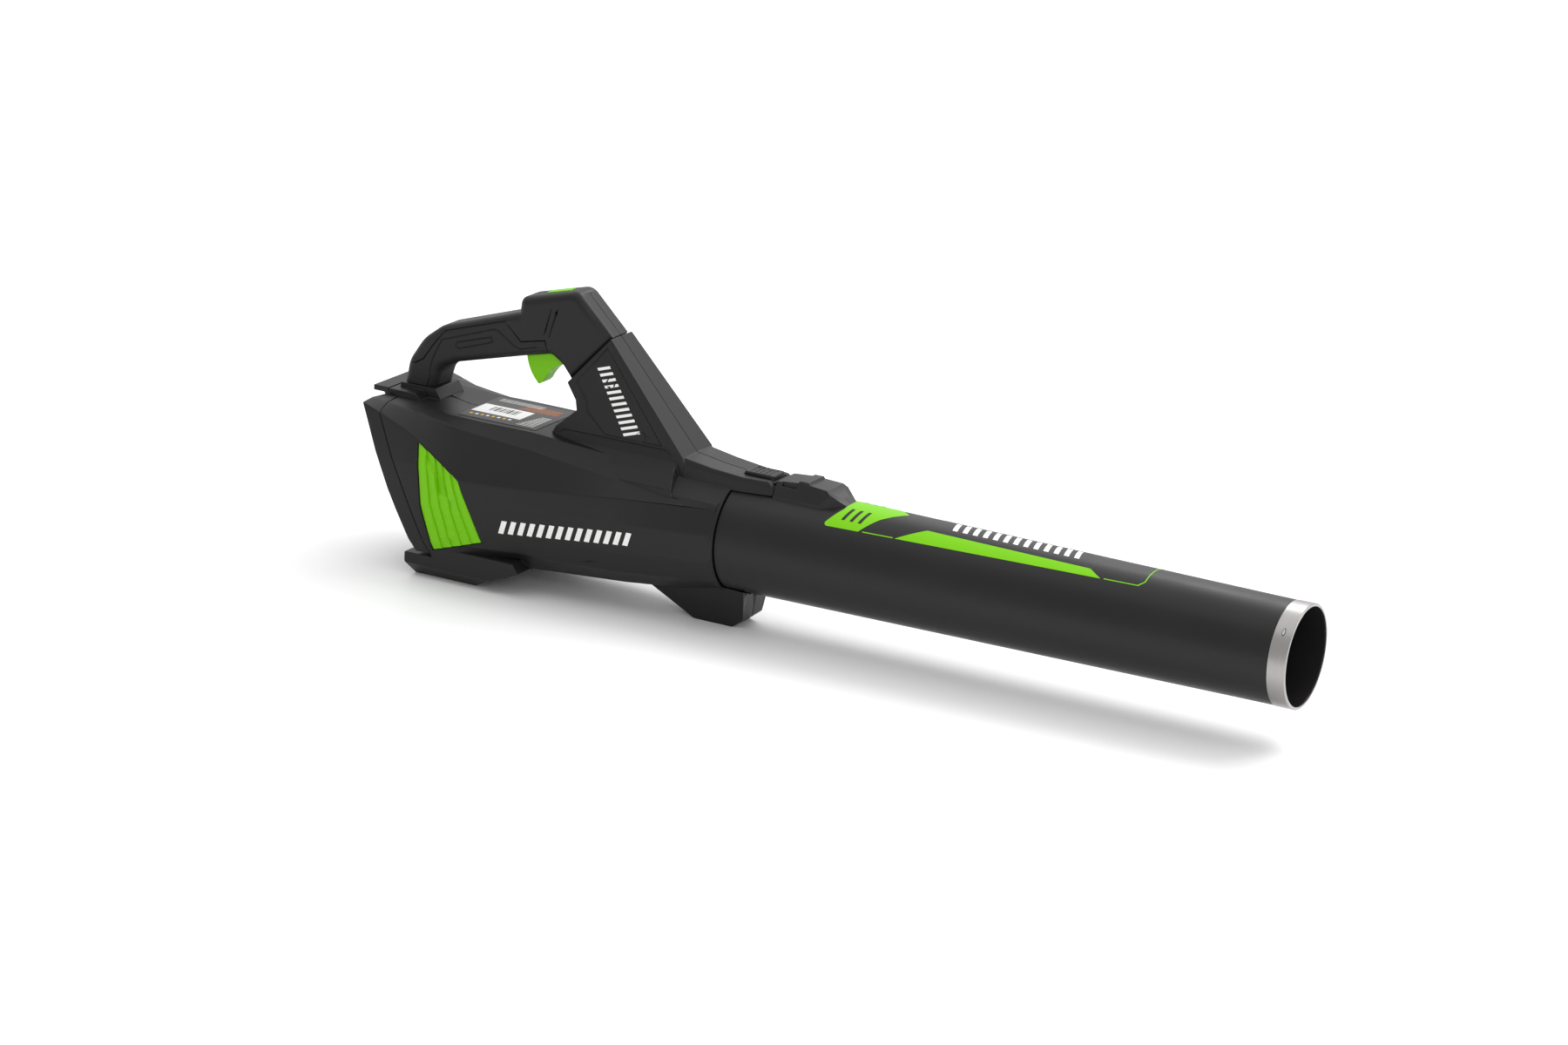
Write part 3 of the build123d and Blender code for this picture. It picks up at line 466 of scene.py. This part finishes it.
def flat_patch(outline, step_u, step_v):
    """A flat outline in two directions, cut by a grid so that it can follow a curved wall."""
    mesh = bmesh.new()
    mesh.faces.new([mesh.verts.new((u, v, 0.0)) for u, v in outline])
    for axis, step in ((0, step_u), (1, step_v)):
        low = min(point[axis] for point in outline)
        high = max(point[axis] for point in outline)
        normal = Vector((1, 0, 0)) if axis == 0 else Vector((0, 1, 0))
        for index in range(1, int((high - low) / step) + 1):
            geometry = list(mesh.verts) + list(mesh.edges) + list(mesh.faces)
            cut = normal * (low + index * step)
            bmesh.ops.bisect_plane(mesh, geom=geometry, plane_co=cut, plane_no=normal)
    return mesh


def thicken(mesh, outward, thickness):
    """Turns a one-sided patch into a thin closed plate that faces outward(point)."""
    mesh.normal_update()
    face = max(mesh.faces, key=lambda item: item.calc_area())
    if face.normal.dot(outward(face.calc_center_median())) < 0:
        bmesh.ops.reverse_faces(mesh, faces=mesh.faces)
    mesh.normal_update()
    bmesh.ops.solidify(mesh, geom=list(mesh.faces), thickness=thickness)
    bmesh.ops.recalc_face_normals(mesh, faces=mesh.faces)


def add_to(whole, mesh):
    """Adds a finished patch to the mesh of the whole piece and frees it."""
    part = bpy.data.meshes.new("part")
    mesh.to_mesh(part)
    mesh.free()
    whole.from_mesh(part)
    bpy.data.meshes.remove(part)


# ---------------------------------------------------------------- graphics


TUBE_R, TUBE_TIP_R, TUBE_LENGTH = 50.0, 45.2, 521.7

# The lime trim runs between these two places along the tube, and its lower edge climbs
# from the first turn to the second, in degrees from the top.
TRIM_REAR, TRIM_FRONT = 98.0, 395.0
TRIM_EDGE_REAR, TRIM_EDGE_FRONT = 44.0, 33.5
TRIM_LINE = 1.1


def tube_radius(x):
    """Outer radius of the tube at x millimetres from the joint plane."""
    return TUBE_R + (TUBE_TIP_R - TUBE_R) * x / TUBE_LENGTH


def tube_print(name, outlines, material, lift, both_sides=True):
    """Printed shapes on the tube, drawn as (millimetres along, degrees from the top)."""
    whole = bmesh.new()
    for outline in outlines:
        for side in (1, -1) if both_sides else (1,):
            mesh = flat_patch(outline, 40.0, 3.0)
            for vert in mesh.verts:
                x, turn = vert.co.x, radians(vert.co.y * side)
                r = tube_radius(x) + lift / MM
                vert.co = at(x, -r * math.sin(turn), r * math.cos(turn))
            thicken(mesh, lambda point: Vector((0, point.y, point.z - JOINT.z)), lift * 1.5)
            add_to(whole, mesh)
    piece = to_object(whole, name)
    return finish_piece(piece, "tube", material)


def wall_finder(nodes):
    """A ray caster against the named pieces at rest."""
    mesh = bmesh.new()
    for node in nodes:
        mesh.from_mesh(NODES[node].data)
    finder = BVHTree.FromBMesh(mesh)
    mesh.free()
    return finder


def wall_print(name, outlines, material, lift, nodes, body):
    """Printed shapes on both flanks, drawn as (x, z) in millimetres from the joint point."""
    finder = wall_finder(nodes)
    whole = bmesh.new()
    for outline in outlines:
        for side in (-1, 1):
            mesh = flat_patch(outline, 4.0, 4.0)
            for vert in mesh.verts:
                origin = at(vert.co.x, side * 200.0, vert.co.y)
                hit = finder.ray_cast(origin, Vector((0, -side, 0)))[0]
                if hit is None:
                    raise RuntimeError(f"{name} runs off the wall")
                vert.co = hit + Vector((0, side * lift, 0))
            thicken(mesh, lambda point, side=side: Vector((0, side, 0)), lift * 1.5)
            add_to(whole, mesh)
    piece = to_object(whole, name)
    return finish_piece(piece, body, material)


def slanted_bar(u, v, length, height, lean):
    """One bar of a plain stripe mark, its far side moved along by lean."""
    return [(u, v), (u + length, v), (u + length + lean, v + height), (u + lean, v + height)]


def oval(u, v, half_u, half_v, corners=16):
    """A small oval outline about a point."""
    turns = [2 * math.pi * index / corners for index in range(corners)]
    return [(u + half_u * math.cos(turn), v + half_v * math.sin(turn)) for turn in turns]


def trim_edge(x):
    """The lower edge of the tube's lime trim, in degrees from the top."""
    return TRIM_EDGE_REAR - (TRIM_EDGE_REAR - TRIM_EDGE_FRONT) * (x - TRIM_REAR) / (TRIM_FRONT - TRIM_REAR)


def trim_line(low, high):
    """A thin lime line along the lower edge of the trim."""
    edges = [(low, trim_edge(low)), (high, trim_edge(high))]
    return edges + [(high, trim_edge(high) - TRIM_LINE), (low, trim_edge(low) - TRIM_LINE)]


def post_bar(share):
    """One thin bar across the post, at a share of the way down it; the bars widen downwards."""
    middle = Vector((-136.0 + 40.0 * share, 131.0 - 62.0 * share))
    half = Vector((0.95, 0.30)) * (6.4 + 2.6 * share)
    down = Vector((0.54, -0.84)) * 2.6
    corners = (middle - half, middle + half, middle + half + down, middle - half + down)
    return [tuple(corner) for corner in corners]


class BLOWER_OT_tube_graphics(Operator):
    """Prints the lime panels and plain stripes on the tube"""

    bl_idname = "blower.tube_graphics"
    bl_label = "Tube Graphics"

    def execute(self, context):
        lift = context.scene.blower_trim.print_lift
        badge = [(108.5, 0.0), (107, 18.0), (101, 33.0), (98, 40.0), (98.4, 42.5)]
        badge += [(100.5, trim_edge(100.5)), (131, trim_edge(131)), (144, 22.0), (163, 0.0)]
        wedge = [(166, trim_edge(166)), (190, 22.0), (345, 24.5), (358, trim_edge(358))]
        corner = [(392.6, trim_edge(393)), (397, 27.0), (397, 0.0), (396, 0.0), (396, 26.4)]
        corner += [(391.8, trim_edge(393) - 1.2)]
        panels = [badge, wedge, trim_line(135, 164), trim_line(361, 393), corner]
        tube_print("tube_lime_panels", panels, "lime_print", lift)
        bars = [slanted_bar(206.0 + 9.6 * index, -9, 4.6, 21.5, 4.0) for index in range(13)]
        tube_print("tube_white_bars", bars, "white_print", lift, both_sides=False)
        marks = [slanted_bar(114 + 8 * index, 14, 3, 19, -3) for index in range(3)]
        tube_print("tube_badge_bars", marks, "shell_black", lift * 2.2)
        # The slot in the steel ring is not cut into the metal. A dark oval is painted shade where the slot's
        # hollow would be, and a paler steel oval is laid inside it.
        slot, bead = oval(530, 50, 1.5, 4.6), oval(530, 50, 1.0, 3.6)
        tube_print("ring_slot", [slot], "screw_black", 0.00062, both_sides=False)
        tube_print("ring_slot_bead", [bead], "bright_steel", 0.00074, both_sides=False)
        return {"FINISHED"}


class BLOWER_OT_body_graphics(Operator):
    """Prints plain stripe marks on the flanks and the post"""

    bl_idname = "blower.body_graphics"
    bl_label = "Body Graphics"

    def execute(self, context):
        lift = context.scene.blower_trim.print_lift
        walls = ["housing_right", "housing_left"]
        rear, pitch, climb = -207.0, 9.3, 0.088
        steps = [pitch * index for index in range(14)]
        bars = [slanted_bar(rear + step, climb * step - 24.5, 5.0, 12.5, 4.0) for step in steps]
        wall_print("body_white_bars", bars, "white_print", lift, walls, "housing")
        stripes = [post_bar(index / 13) for index in range(12)]
        wall_print("post_white_bars", stripes, "white_print", lift * 2.5, walls, "housing")
        return {"FINISHED"}


PLATE_THICKNESS = 0.00008
FIRST_LAYER, SECOND_LAYER = 0.00010, 0.00020


def deck_plate(name, rectangles, material, level=FIRST_LAYER):
    """Thin printed rectangles on the deck label, as (x low, x high, y low, y high)."""
    top = max(vert.co.z for vert in NODES["deck_label"].data.vertices)
    whole = bmesh.new()
    for x_low, x_high, y_low, y_high in rectangles:
        corners = [(x_low, y_low), (x_high, y_low), (x_high, y_high), (x_low, y_high)]
        verts = [whole.verts.new((at(x, y, 0).x, at(x, y, 0).y, top + level)) for x, y in corners]
        whole.faces.new(verts)
    whole.normal_update()
    bmesh.ops.solidify(whole, geom=list(whole.faces), thickness=PLATE_THICKNESS)
    bmesh.ops.recalc_face_normals(whole, faces=whole.faces)
    piece = to_object(whole, name)
    return finish_piece(piece, "housing", material)


class BLOWER_OT_deck_label(Operator):
    """Prints plain panels and bars on the deck label"""

    bl_idname = "blower.deck_label"
    bl_label = "Deck Label"

    def execute(self, context):
        deck_plate("label_white_panel", [(-272, -221, -17, 9)], "white_print")
        bars, x = [], -259.0
        for width in (1.2, 0.6, 2.0, 0.8, 1.5, 0.6, 1.1, 2.2, 0.7, 1.4, 0.8):
            bars.append((x, x + width, -8, 5))
            x += width + 1.4
        deck_plate("label_dark_bars", bars, "shell_black", SECOND_LAYER)
        lines = []
        for row in range(10):
            y = -30 + 3.4 * row
            lines.append((-217 + 0.9 * row, -199, y, y + 1.0))
        for row in range(3):
            y = 24 + 3.2 * row
            lines.append((-268, -222, y, y + 0.7))
        deck_plate("label_grey_lines", lines, "white_print")
        amber = []
        for row in range(5):
            y = 13 + 3.0 * row
            amber.append((-240 + 1.5 * row, -201, y, y + 1.2))
        deck_plate("label_amber_lines", amber, "amber_print")
        dots = []
        for spot in range(8):
            x, y = -268 + 5.5 * spot, -27 + 0.4 * spot
            dots.append((x, x + 2.8, y, y + 3.5))
        deck_plate("label_yellow_dots", dots[::2], "yellow_print")
        deck_plate("label_white_dots", dots[1::2], "white_print")
        return {"FINISHED"}


# ---------------------------------------------------------------- geometry nodes


def repeat_tree(name):
    """A tree that puts an object on every point, made real, with one material."""
    tree = bpy.data.node_groups.new(name, "GeometryNodeTree")
    tree.interface.new_socket("Points", in_out="INPUT", socket_type="NodeSocketGeometry")
    tree.interface.new_socket("Pattern", in_out="INPUT", socket_type="NodeSocketObject")
    size = tree.interface.new_socket("Size", in_out="INPUT", socket_type="NodeSocketFloat")
    size.default_value = 1.0
    tree.interface.new_socket("Material", in_out="INPUT", socket_type="NodeSocketMaterial")
    tree.interface.new_socket("Geometry", in_out="OUTPUT", socket_type="NodeSocketGeometry")
    start, end = tree.nodes.new("NodeGroupInput"), tree.nodes.new("NodeGroupOutput")
    fetch = tree.nodes.new("GeometryNodeObjectInfo")
    place = tree.nodes.new("GeometryNodeInstanceOnPoints")
    real = tree.nodes.new("GeometryNodeRealizeInstances")
    paint = tree.nodes.new("GeometryNodeSetMaterial")
    tree.links.new(start.outputs["Points"], place.inputs["Points"])
    tree.links.new(start.outputs["Pattern"], fetch.inputs["Object"])
    tree.links.new(fetch.outputs["Geometry"], place.inputs["Instance"])
    tree.links.new(start.outputs["Size"], place.inputs["Scale"])
    tree.links.new(place.outputs["Instances"], real.inputs["Geometry"])
    tree.links.new(real.outputs["Geometry"], paint.inputs["Geometry"])
    tree.links.new(start.outputs["Material"], paint.inputs["Material"])
    tree.links.new(paint.outputs["Geometry"], end.inputs["Geometry"])
    return tree


def repeat_on(name, points, pattern, tree, material):
    """The pattern object repeated at the points, as one plain mesh piece."""
    seeds = bmesh.new()
    for point in points:
        seeds.verts.new(point)
    carrier = to_object(seeds, name + "_points")
    modifier = carrier.modifiers.new("repeat", "NODES")
    modifier.node_group = tree
    sockets = [item for item in tree.interface.items_tree if item.in_out == "INPUT"]
    inputs = {socket.name: socket.identifier for socket in sockets}
    modifier[inputs["Pattern"]] = pattern
    modifier[inputs["Size"]] = 1.0
    modifier[inputs["Material"]] = MATERIALS[material]
    bpy.context.view_layer.update()
    evaluated = carrier.evaluated_get(bpy.context.evaluated_depsgraph_get())
    mesh = bpy.data.meshes.new_from_object(evaluated)
    bpy.data.objects.remove(carrier)
    pattern_mesh = pattern.data
    bpy.data.objects.remove(pattern)
    bpy.data.meshes.remove(pattern_mesh)
    piece = bpy.data.objects.new(name, mesh)
    bpy.context.scene.collection.objects.link(piece)
    return piece


def islands(node):
    """The separate solids of a node as (lowest corner, highest corner)."""
    mesh = bmesh.new()
    mesh.from_mesh(NODES[node].data)
    bmesh.ops.remove_doubles(mesh, verts=mesh.verts, dist=1e-6)
    seen, found = set(), []
    for seed in mesh.verts:
        if seed in seen:
            continue
        seen.add(seed)
        wave, group = [seed], []
        while wave:
            vert = wave.pop()
            group.append(vert.co.copy())
            for edge in vert.link_edges:
                other = edge.other_vert(vert)
                if other not in seen:
                    seen.add(other)
                    wave.append(other)
        low = Vector([min(point[axis] for point in group) for axis in range(3)])
        high = Vector([max(point[axis] for point in group) for axis in range(3)])
        found.append((low, high))
    mesh.free()
    return found


def ring_of_points(mesh, y, radii):
    """A closed ring of points about the Y axis, one for each radius."""
    turns = [2 * math.pi * step / len(radii) for step in range(len(radii))]
    return [
        mesh.verts.new((radius * math.cos(turn), y, radius * math.sin(turn)))
        for radius, turn in zip(radii, turns)
    ]


def screw_pattern(head_r, head_height, shank_r, length, lobes):
    """A pan-head screw along -Y with its head's top at the origin and a lobed recess."""
    mesh = bmesh.new()
    steps = lobes * 6
    profile = [
        (head_r * 0.50, 0.0),
        (head_r * 0.90, -head_height * 0.12),
        (head_r, -head_height * 0.45),
        (head_r, -head_height),
        (shank_r, -head_height),
        (shank_r, -length),
    ]
    waves = [math.cos(lobes * 2 * math.pi * step / steps) for step in range(steps)]
    recess = [head_r * (0.36 + 0.07 * wave) for wave in waves]
    rings = [ring_of_points(mesh, -head_height * 0.6, recess), ring_of_points(mesh, 0.0, recess)]
    rings += [ring_of_points(mesh, y, [radius] * steps) for radius, y in profile]
    for inner, outer in zip(rings, rings[1:]):
        for step in range(steps):
            after = (step + 1) % steps
            mesh.faces.new((inner[step], inner[after], outer[after], outer[step]))
    mesh.faces.new(rings[0])
    mesh.faces.new(rings[-1])
    bmesh.ops.recalc_face_normals(mesh, faces=mesh.faces)
    return to_object(mesh, "screw_pattern")


SCREW_HEAD_R, SCREW_HEAD, SCREW_SHANK_R = 0.0033, 0.0022, 0.00165
SCREW_END_GAP = 0.0003


class BLOWER_OT_screws(Operator):
    """Replaces the housing screws with pan heads and lobed recesses"""

    bl_idname = "blower.screws"
    bl_label = "Screws"

    def execute(self, context):
        solids = islands("housing_screws")
        lobes = context.scene.blower_trim.lobe_count
        length = max(high.y - low.y for low, high in solids)
        pattern = screw_pattern(SCREW_HEAD_R, SCREW_HEAD, SCREW_SHANK_R, length - SCREW_END_GAP, lobes)
        points = [Vector(((low.x + high.x) / 2, high.y, (low.z + high.z) / 2)) for low, high in solids]
        piece = repeat_on("screws", points, pattern, repeat_tree("screw_row"), "screw_black")
        finish_piece(piece, "housing", "screw_black")
        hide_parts("housing_screws")
        return {"FINISHED"}


# ---------------------------------------------------------------- shells and trim


class BLOWER_OT_shells(Operator):
    """Rounds the moulded edges of the housing and handle halves"""

    bl_idname = "blower.shells"
    bl_label = "Shells"

    def execute(self, context):
        width = context.scene.blower_finish.edge_round
        for node in ("housing_right", "housing_left", "handle_right", "handle_left", "battery_end_cap"):
            soften(node, width)
        return {"FINISHED"}


class BLOWER_OT_controls(Operator):
    """Rounds the trigger, buttons, latch and grip cover"""

    bl_idname = "blower.controls"
    bl_label = "Controls"

    def execute(self, context):
        width = context.scene.blower_finish.edge_round
        for node in ("trigger", "top_button", "tube_release_button", "battery_latch", "grip_cover"):
            soften(node, width * 0.6, shortest=0.002)
        return {"FINISHED"}


class BLOWER_OT_tube(Operator):
    """Rounds the sharp edges of the tube and its boss"""

    bl_idname = "blower.tube"
    bl_label = "Tube"

    def execute(self, context):
        width = context.scene.blower_finish.edge_round
        soften("tube", width * 0.7, angle=25.0)
        return {"FINISHED"}


LOUVER_REAR = [(-290.4, 44.6), (-285.0, -11.0), (-272.6, -52.4)]
LOUVER_FRONT = [(-246.4, 17.2), (-235.4, -10.0), (-224.6, -37.0)]
LOUVER_ROWS = 24
LOUVER_THICKNESS = 0.0022

# Across one slat: the share of its width, and how far in it lies as a share of the step.
SLAT_PROFILE = ((0.0, 1.0), (0.86, 0.35), (0.93, 0.0), (0.985, 0.12), (1.0, 1.0))


def along_line(points, share):
    """The point at a share of a bent line, each of its two runs taking half."""
    low = points[0] if share < 0.5 else points[1]
    high = points[1] if share < 0.5 else points[2]
    part = share * 2 if share < 0.5 else share * 2 - 1
    return low[0] + (high[0] - low[0]) * part, low[1] + (high[1] - low[1]) * part


def slat_row(side, slats, rise, finder):
    """One side's slats: upright strips that each step back towards the rear."""
    mesh = bmesh.new()
    outer, inner = [], []
    for slat in range(slats):
        for share, sunk in SLAT_PROFILE:
            points = []
            for row in range(LOUVER_ROWS + 1):
                rear = along_line(LOUVER_REAR, row / LOUVER_ROWS)
                front = along_line(LOUVER_FRONT, row / LOUVER_ROWS)
                across = (slat + share) / slats
                place = at(
                    rear[0] + (front[0] - rear[0]) * across,
                    side * 200.0,
                    rear[1] + (front[1] - rear[1]) * across,
                )
                hit = finder.ray_cast(place, Vector((0, -side, 0)))[0]
                wall = hit.y if hit is not None else at(0, side * 75.0, 0).y
                points.append(Vector((place.x, wall - side * sunk * rise, place.z)))
            outer.append([mesh.verts.new(point) for point in points])
            back = Vector((0, side * LOUVER_THICKNESS, 0))
            inner.append([mesh.verts.new(point - back) for point in points])
    last = len(outer) - 1
    for i in range(last):
        for j in range(LOUVER_ROWS):
            mesh.faces.new((outer[i][j], outer[i + 1][j], outer[i + 1][j + 1], outer[i][j + 1]))
            mesh.faces.new((inner[i][j], inner[i][j + 1], inner[i + 1][j + 1], inner[i + 1][j]))
        for j in (0, LOUVER_ROWS):
            mesh.faces.new((outer[i][j], inner[i][j], inner[i + 1][j], outer[i + 1][j]))
    for j in range(LOUVER_ROWS):
        for i in (0, last):
            mesh.faces.new((outer[i][j], outer[i][j + 1], inner[i][j + 1], inner[i][j]))
    bmesh.ops.remove_doubles(mesh, verts=mesh.verts, dist=1e-7)
    bmesh.ops.recalc_face_normals(mesh, faces=mesh.faces)
    return mesh


class BLOWER_OT_louvers(Operator):
    """Builds the stepped slats of the side louvers"""

    bl_idname = "blower.louvers"
    bl_label = "Louvers"

    def execute(self, context):
        slats = context.scene.blower_trim.slat_count
        rise = context.scene.blower_trim.slat_rise
        for node, side in (("louver_right", -1), ("louver_left", 1)):
            finder = wall_finder([node, "housing_right", "housing_left"])
            piece = to_object(slat_row(side, slats, rise, finder), node + "_slats")
            finish_piece(piece, "housing", "lime", sharp=radians(24))
            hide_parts(node)
        return {"FINISHED"}


class BLOWER_OT_inner_parts(Operator):
    """Gives every other piece the finish of its slot"""

    bl_idname = "blower.inner_parts"
    bl_label = "Inner Parts"

    def execute(self, context):
        for node, piece in NODES.items():
            piece.data.materials.clear()
            piece.data.materials.append(MATERIALS[SLOT_OF[node]])
        return {"FINISHED"}


# ---------------------------------------------------------------- stage


def area_light(name, place, target, size, power):
    """A soft rectangular light aimed at a point."""
    light = bpy.data.lights.new(name, "AREA")
    light.shape = "RECTANGLE"
    light.size, light.size_y = size
    light.energy = power
    lamp = bpy.data.objects.new(name, light)
    lamp.location = place
    lamp.rotation_euler = (Vector(target) - Vector(place)).to_track_quat("-Z", "Y").to_euler()
    bpy.context.scene.collection.objects.link(lamp)
    return lamp


def aimed_camera(stage):
    """The camera, placed by its bearing, height angle, roll and distance from the joint point."""
    turn, rise, roll = stage.azimuth, stage.elevation, stage.roll
    right = Vector((math.cos(turn), math.sin(turn), 0.0))
    up = Vector((-math.sin(turn) * math.sin(rise), math.cos(turn) * math.sin(rise), math.cos(rise)))
    back = Vector((math.sin(turn) * math.cos(rise), -math.cos(turn) * math.cos(rise), math.sin(rise)))
    place = JOINT - right * stage.shift_right - up * stage.shift_up + back * stage.distance
    view_right = right * math.cos(roll) + up * math.sin(roll)
    view_up = up * math.cos(roll) - right * math.sin(roll)
    lens = bpy.data.cameras.new("camera")
    lens.sensor_width = 36.0
    lens.lens = stage.lens
    lens.clip_end = 60.0
    camera = bpy.data.objects.new("camera", lens)
    camera.matrix_world = Matrix(
        (
            (view_right.x, view_up.x, back.x, place.x),
            (view_right.y, view_up.y, back.y, place.y),
            (view_right.z, view_up.z, back.z, place.z),
            (0, 0, 0, 1),
        )
    )
    bpy.context.scene.collection.objects.link(camera)
    bpy.context.scene.camera = camera


class BLOWER_OT_stage(Operator):
    """Lays the pale floor, sets the soft lights and places the camera"""

    bl_idname = "blower.stage"
    bl_label = "Stage"

    def execute(self, context):
        stage = context.scene.blower_stage
        half = stage.floor_size / 2
        mesh = bmesh.new()
        corners = ((-half, -half), (half, -half), (half, half), (-half, half))
        mesh.faces.new([mesh.verts.new((x, y, 0.0)) for x, y in corners])
        floor = to_object(mesh, "floor")
        material, _, surface = bare_material("floor", 0.0, 0.6, 0.3)
        surface.inputs["Base Color"].default_value = (0.93, 0.93, 0.93, 1.0)
        floor.data.materials.append(material)
        world = bpy.data.worlds.new("world")
        context.scene.world = world
        world.use_nodes = True
        background = world.node_tree.nodes["Background"]
        background.inputs["Color"].default_value = (1.0, 1.0, 1.0, 1.0)
        background.inputs["Strength"].default_value = stage.room_light
        sun = bpy.data.lights.new("sky", "SUN")
        sun.energy = stage.sky_power
        sun.angle = radians(120)
        lamp = bpy.data.objects.new("sky", sun)
        lamp.rotation_euler = (radians(-22), radians(4), 0)
        context.scene.collection.objects.link(lamp)
        middle = (0.0, 0.0, 0.1)
        area_light("key", (0.5, 0.9, 1.5), middle, (2.2, 0.5), stage.key_power)
        area_light("fill", (1.6, -2.2, 1.3), middle, (0.9, 0.7), stage.fill_power)
        context.scene.view_settings.view_transform = "Standard"
        aimed_camera(stage)
        return {"FINISHED"}


class BLOWER_PT_panel(Panel):
    """Lists the steps that build the blower"""

    bl_idname = "BLOWER_PT_panel"
    bl_label = "Leaf Blower"
    bl_space_type = "VIEW_3D"
    bl_region_type = "UI"
    bl_category = "Blower"

    def draw(self, context):
        layout = self.layout
        for name, _ in SETTINGS:
            settings = getattr(context.scene, name)
            box = layout.box()
            for label in settings.__annotations__:
                box.prop(settings, label)
        for step in STEPS:
            layout.operator(step.bl_idname)


SETTINGS = (
    ("blower_finish", BlowerFinish),
    ("blower_trim", BlowerTrim),
    ("blower_stage", BlowerStage),
)
STEPS = (
    BLOWER_OT_inner_parts,
    BLOWER_OT_shells,
    BLOWER_OT_controls,
    BLOWER_OT_louvers,
    BLOWER_OT_tube,
    BLOWER_OT_tube_graphics,
    BLOWER_OT_body_graphics,
    BLOWER_OT_deck_label,
    BLOWER_OT_screws,
    BLOWER_OT_stage,
)


def register():
    """Adds the settings, the steps and the panel."""
    for name, group in SETTINGS:
        bpy.utils.register_class(group)
        setattr(bpy.types.Scene, name, PointerProperty(type=group))
    for step in STEPS:
        bpy.utils.register_class(step)
    bpy.utils.register_class(BLOWER_PT_panel)


def unregister():
    """Takes the panel, the steps and the settings away again."""
    bpy.utils.unregister_class(BLOWER_PT_panel)
    for step in reversed(STEPS):
        bpy.utils.unregister_class(step)
    for name, group in reversed(SETTINGS):
        delattr(bpy.types.Scene, name)
        bpy.utils.unregister_class(group)


def main():
    """Builds the blower and its stage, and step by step."""
    register()
    build_materials(bpy.context.scene.blower_finish)
    for step in STEPS:
        family, action = step.bl_idname.split(".")
        getattr(getattr(bpy.ops, family), action)()


if __name__ == "__main__":
    main()
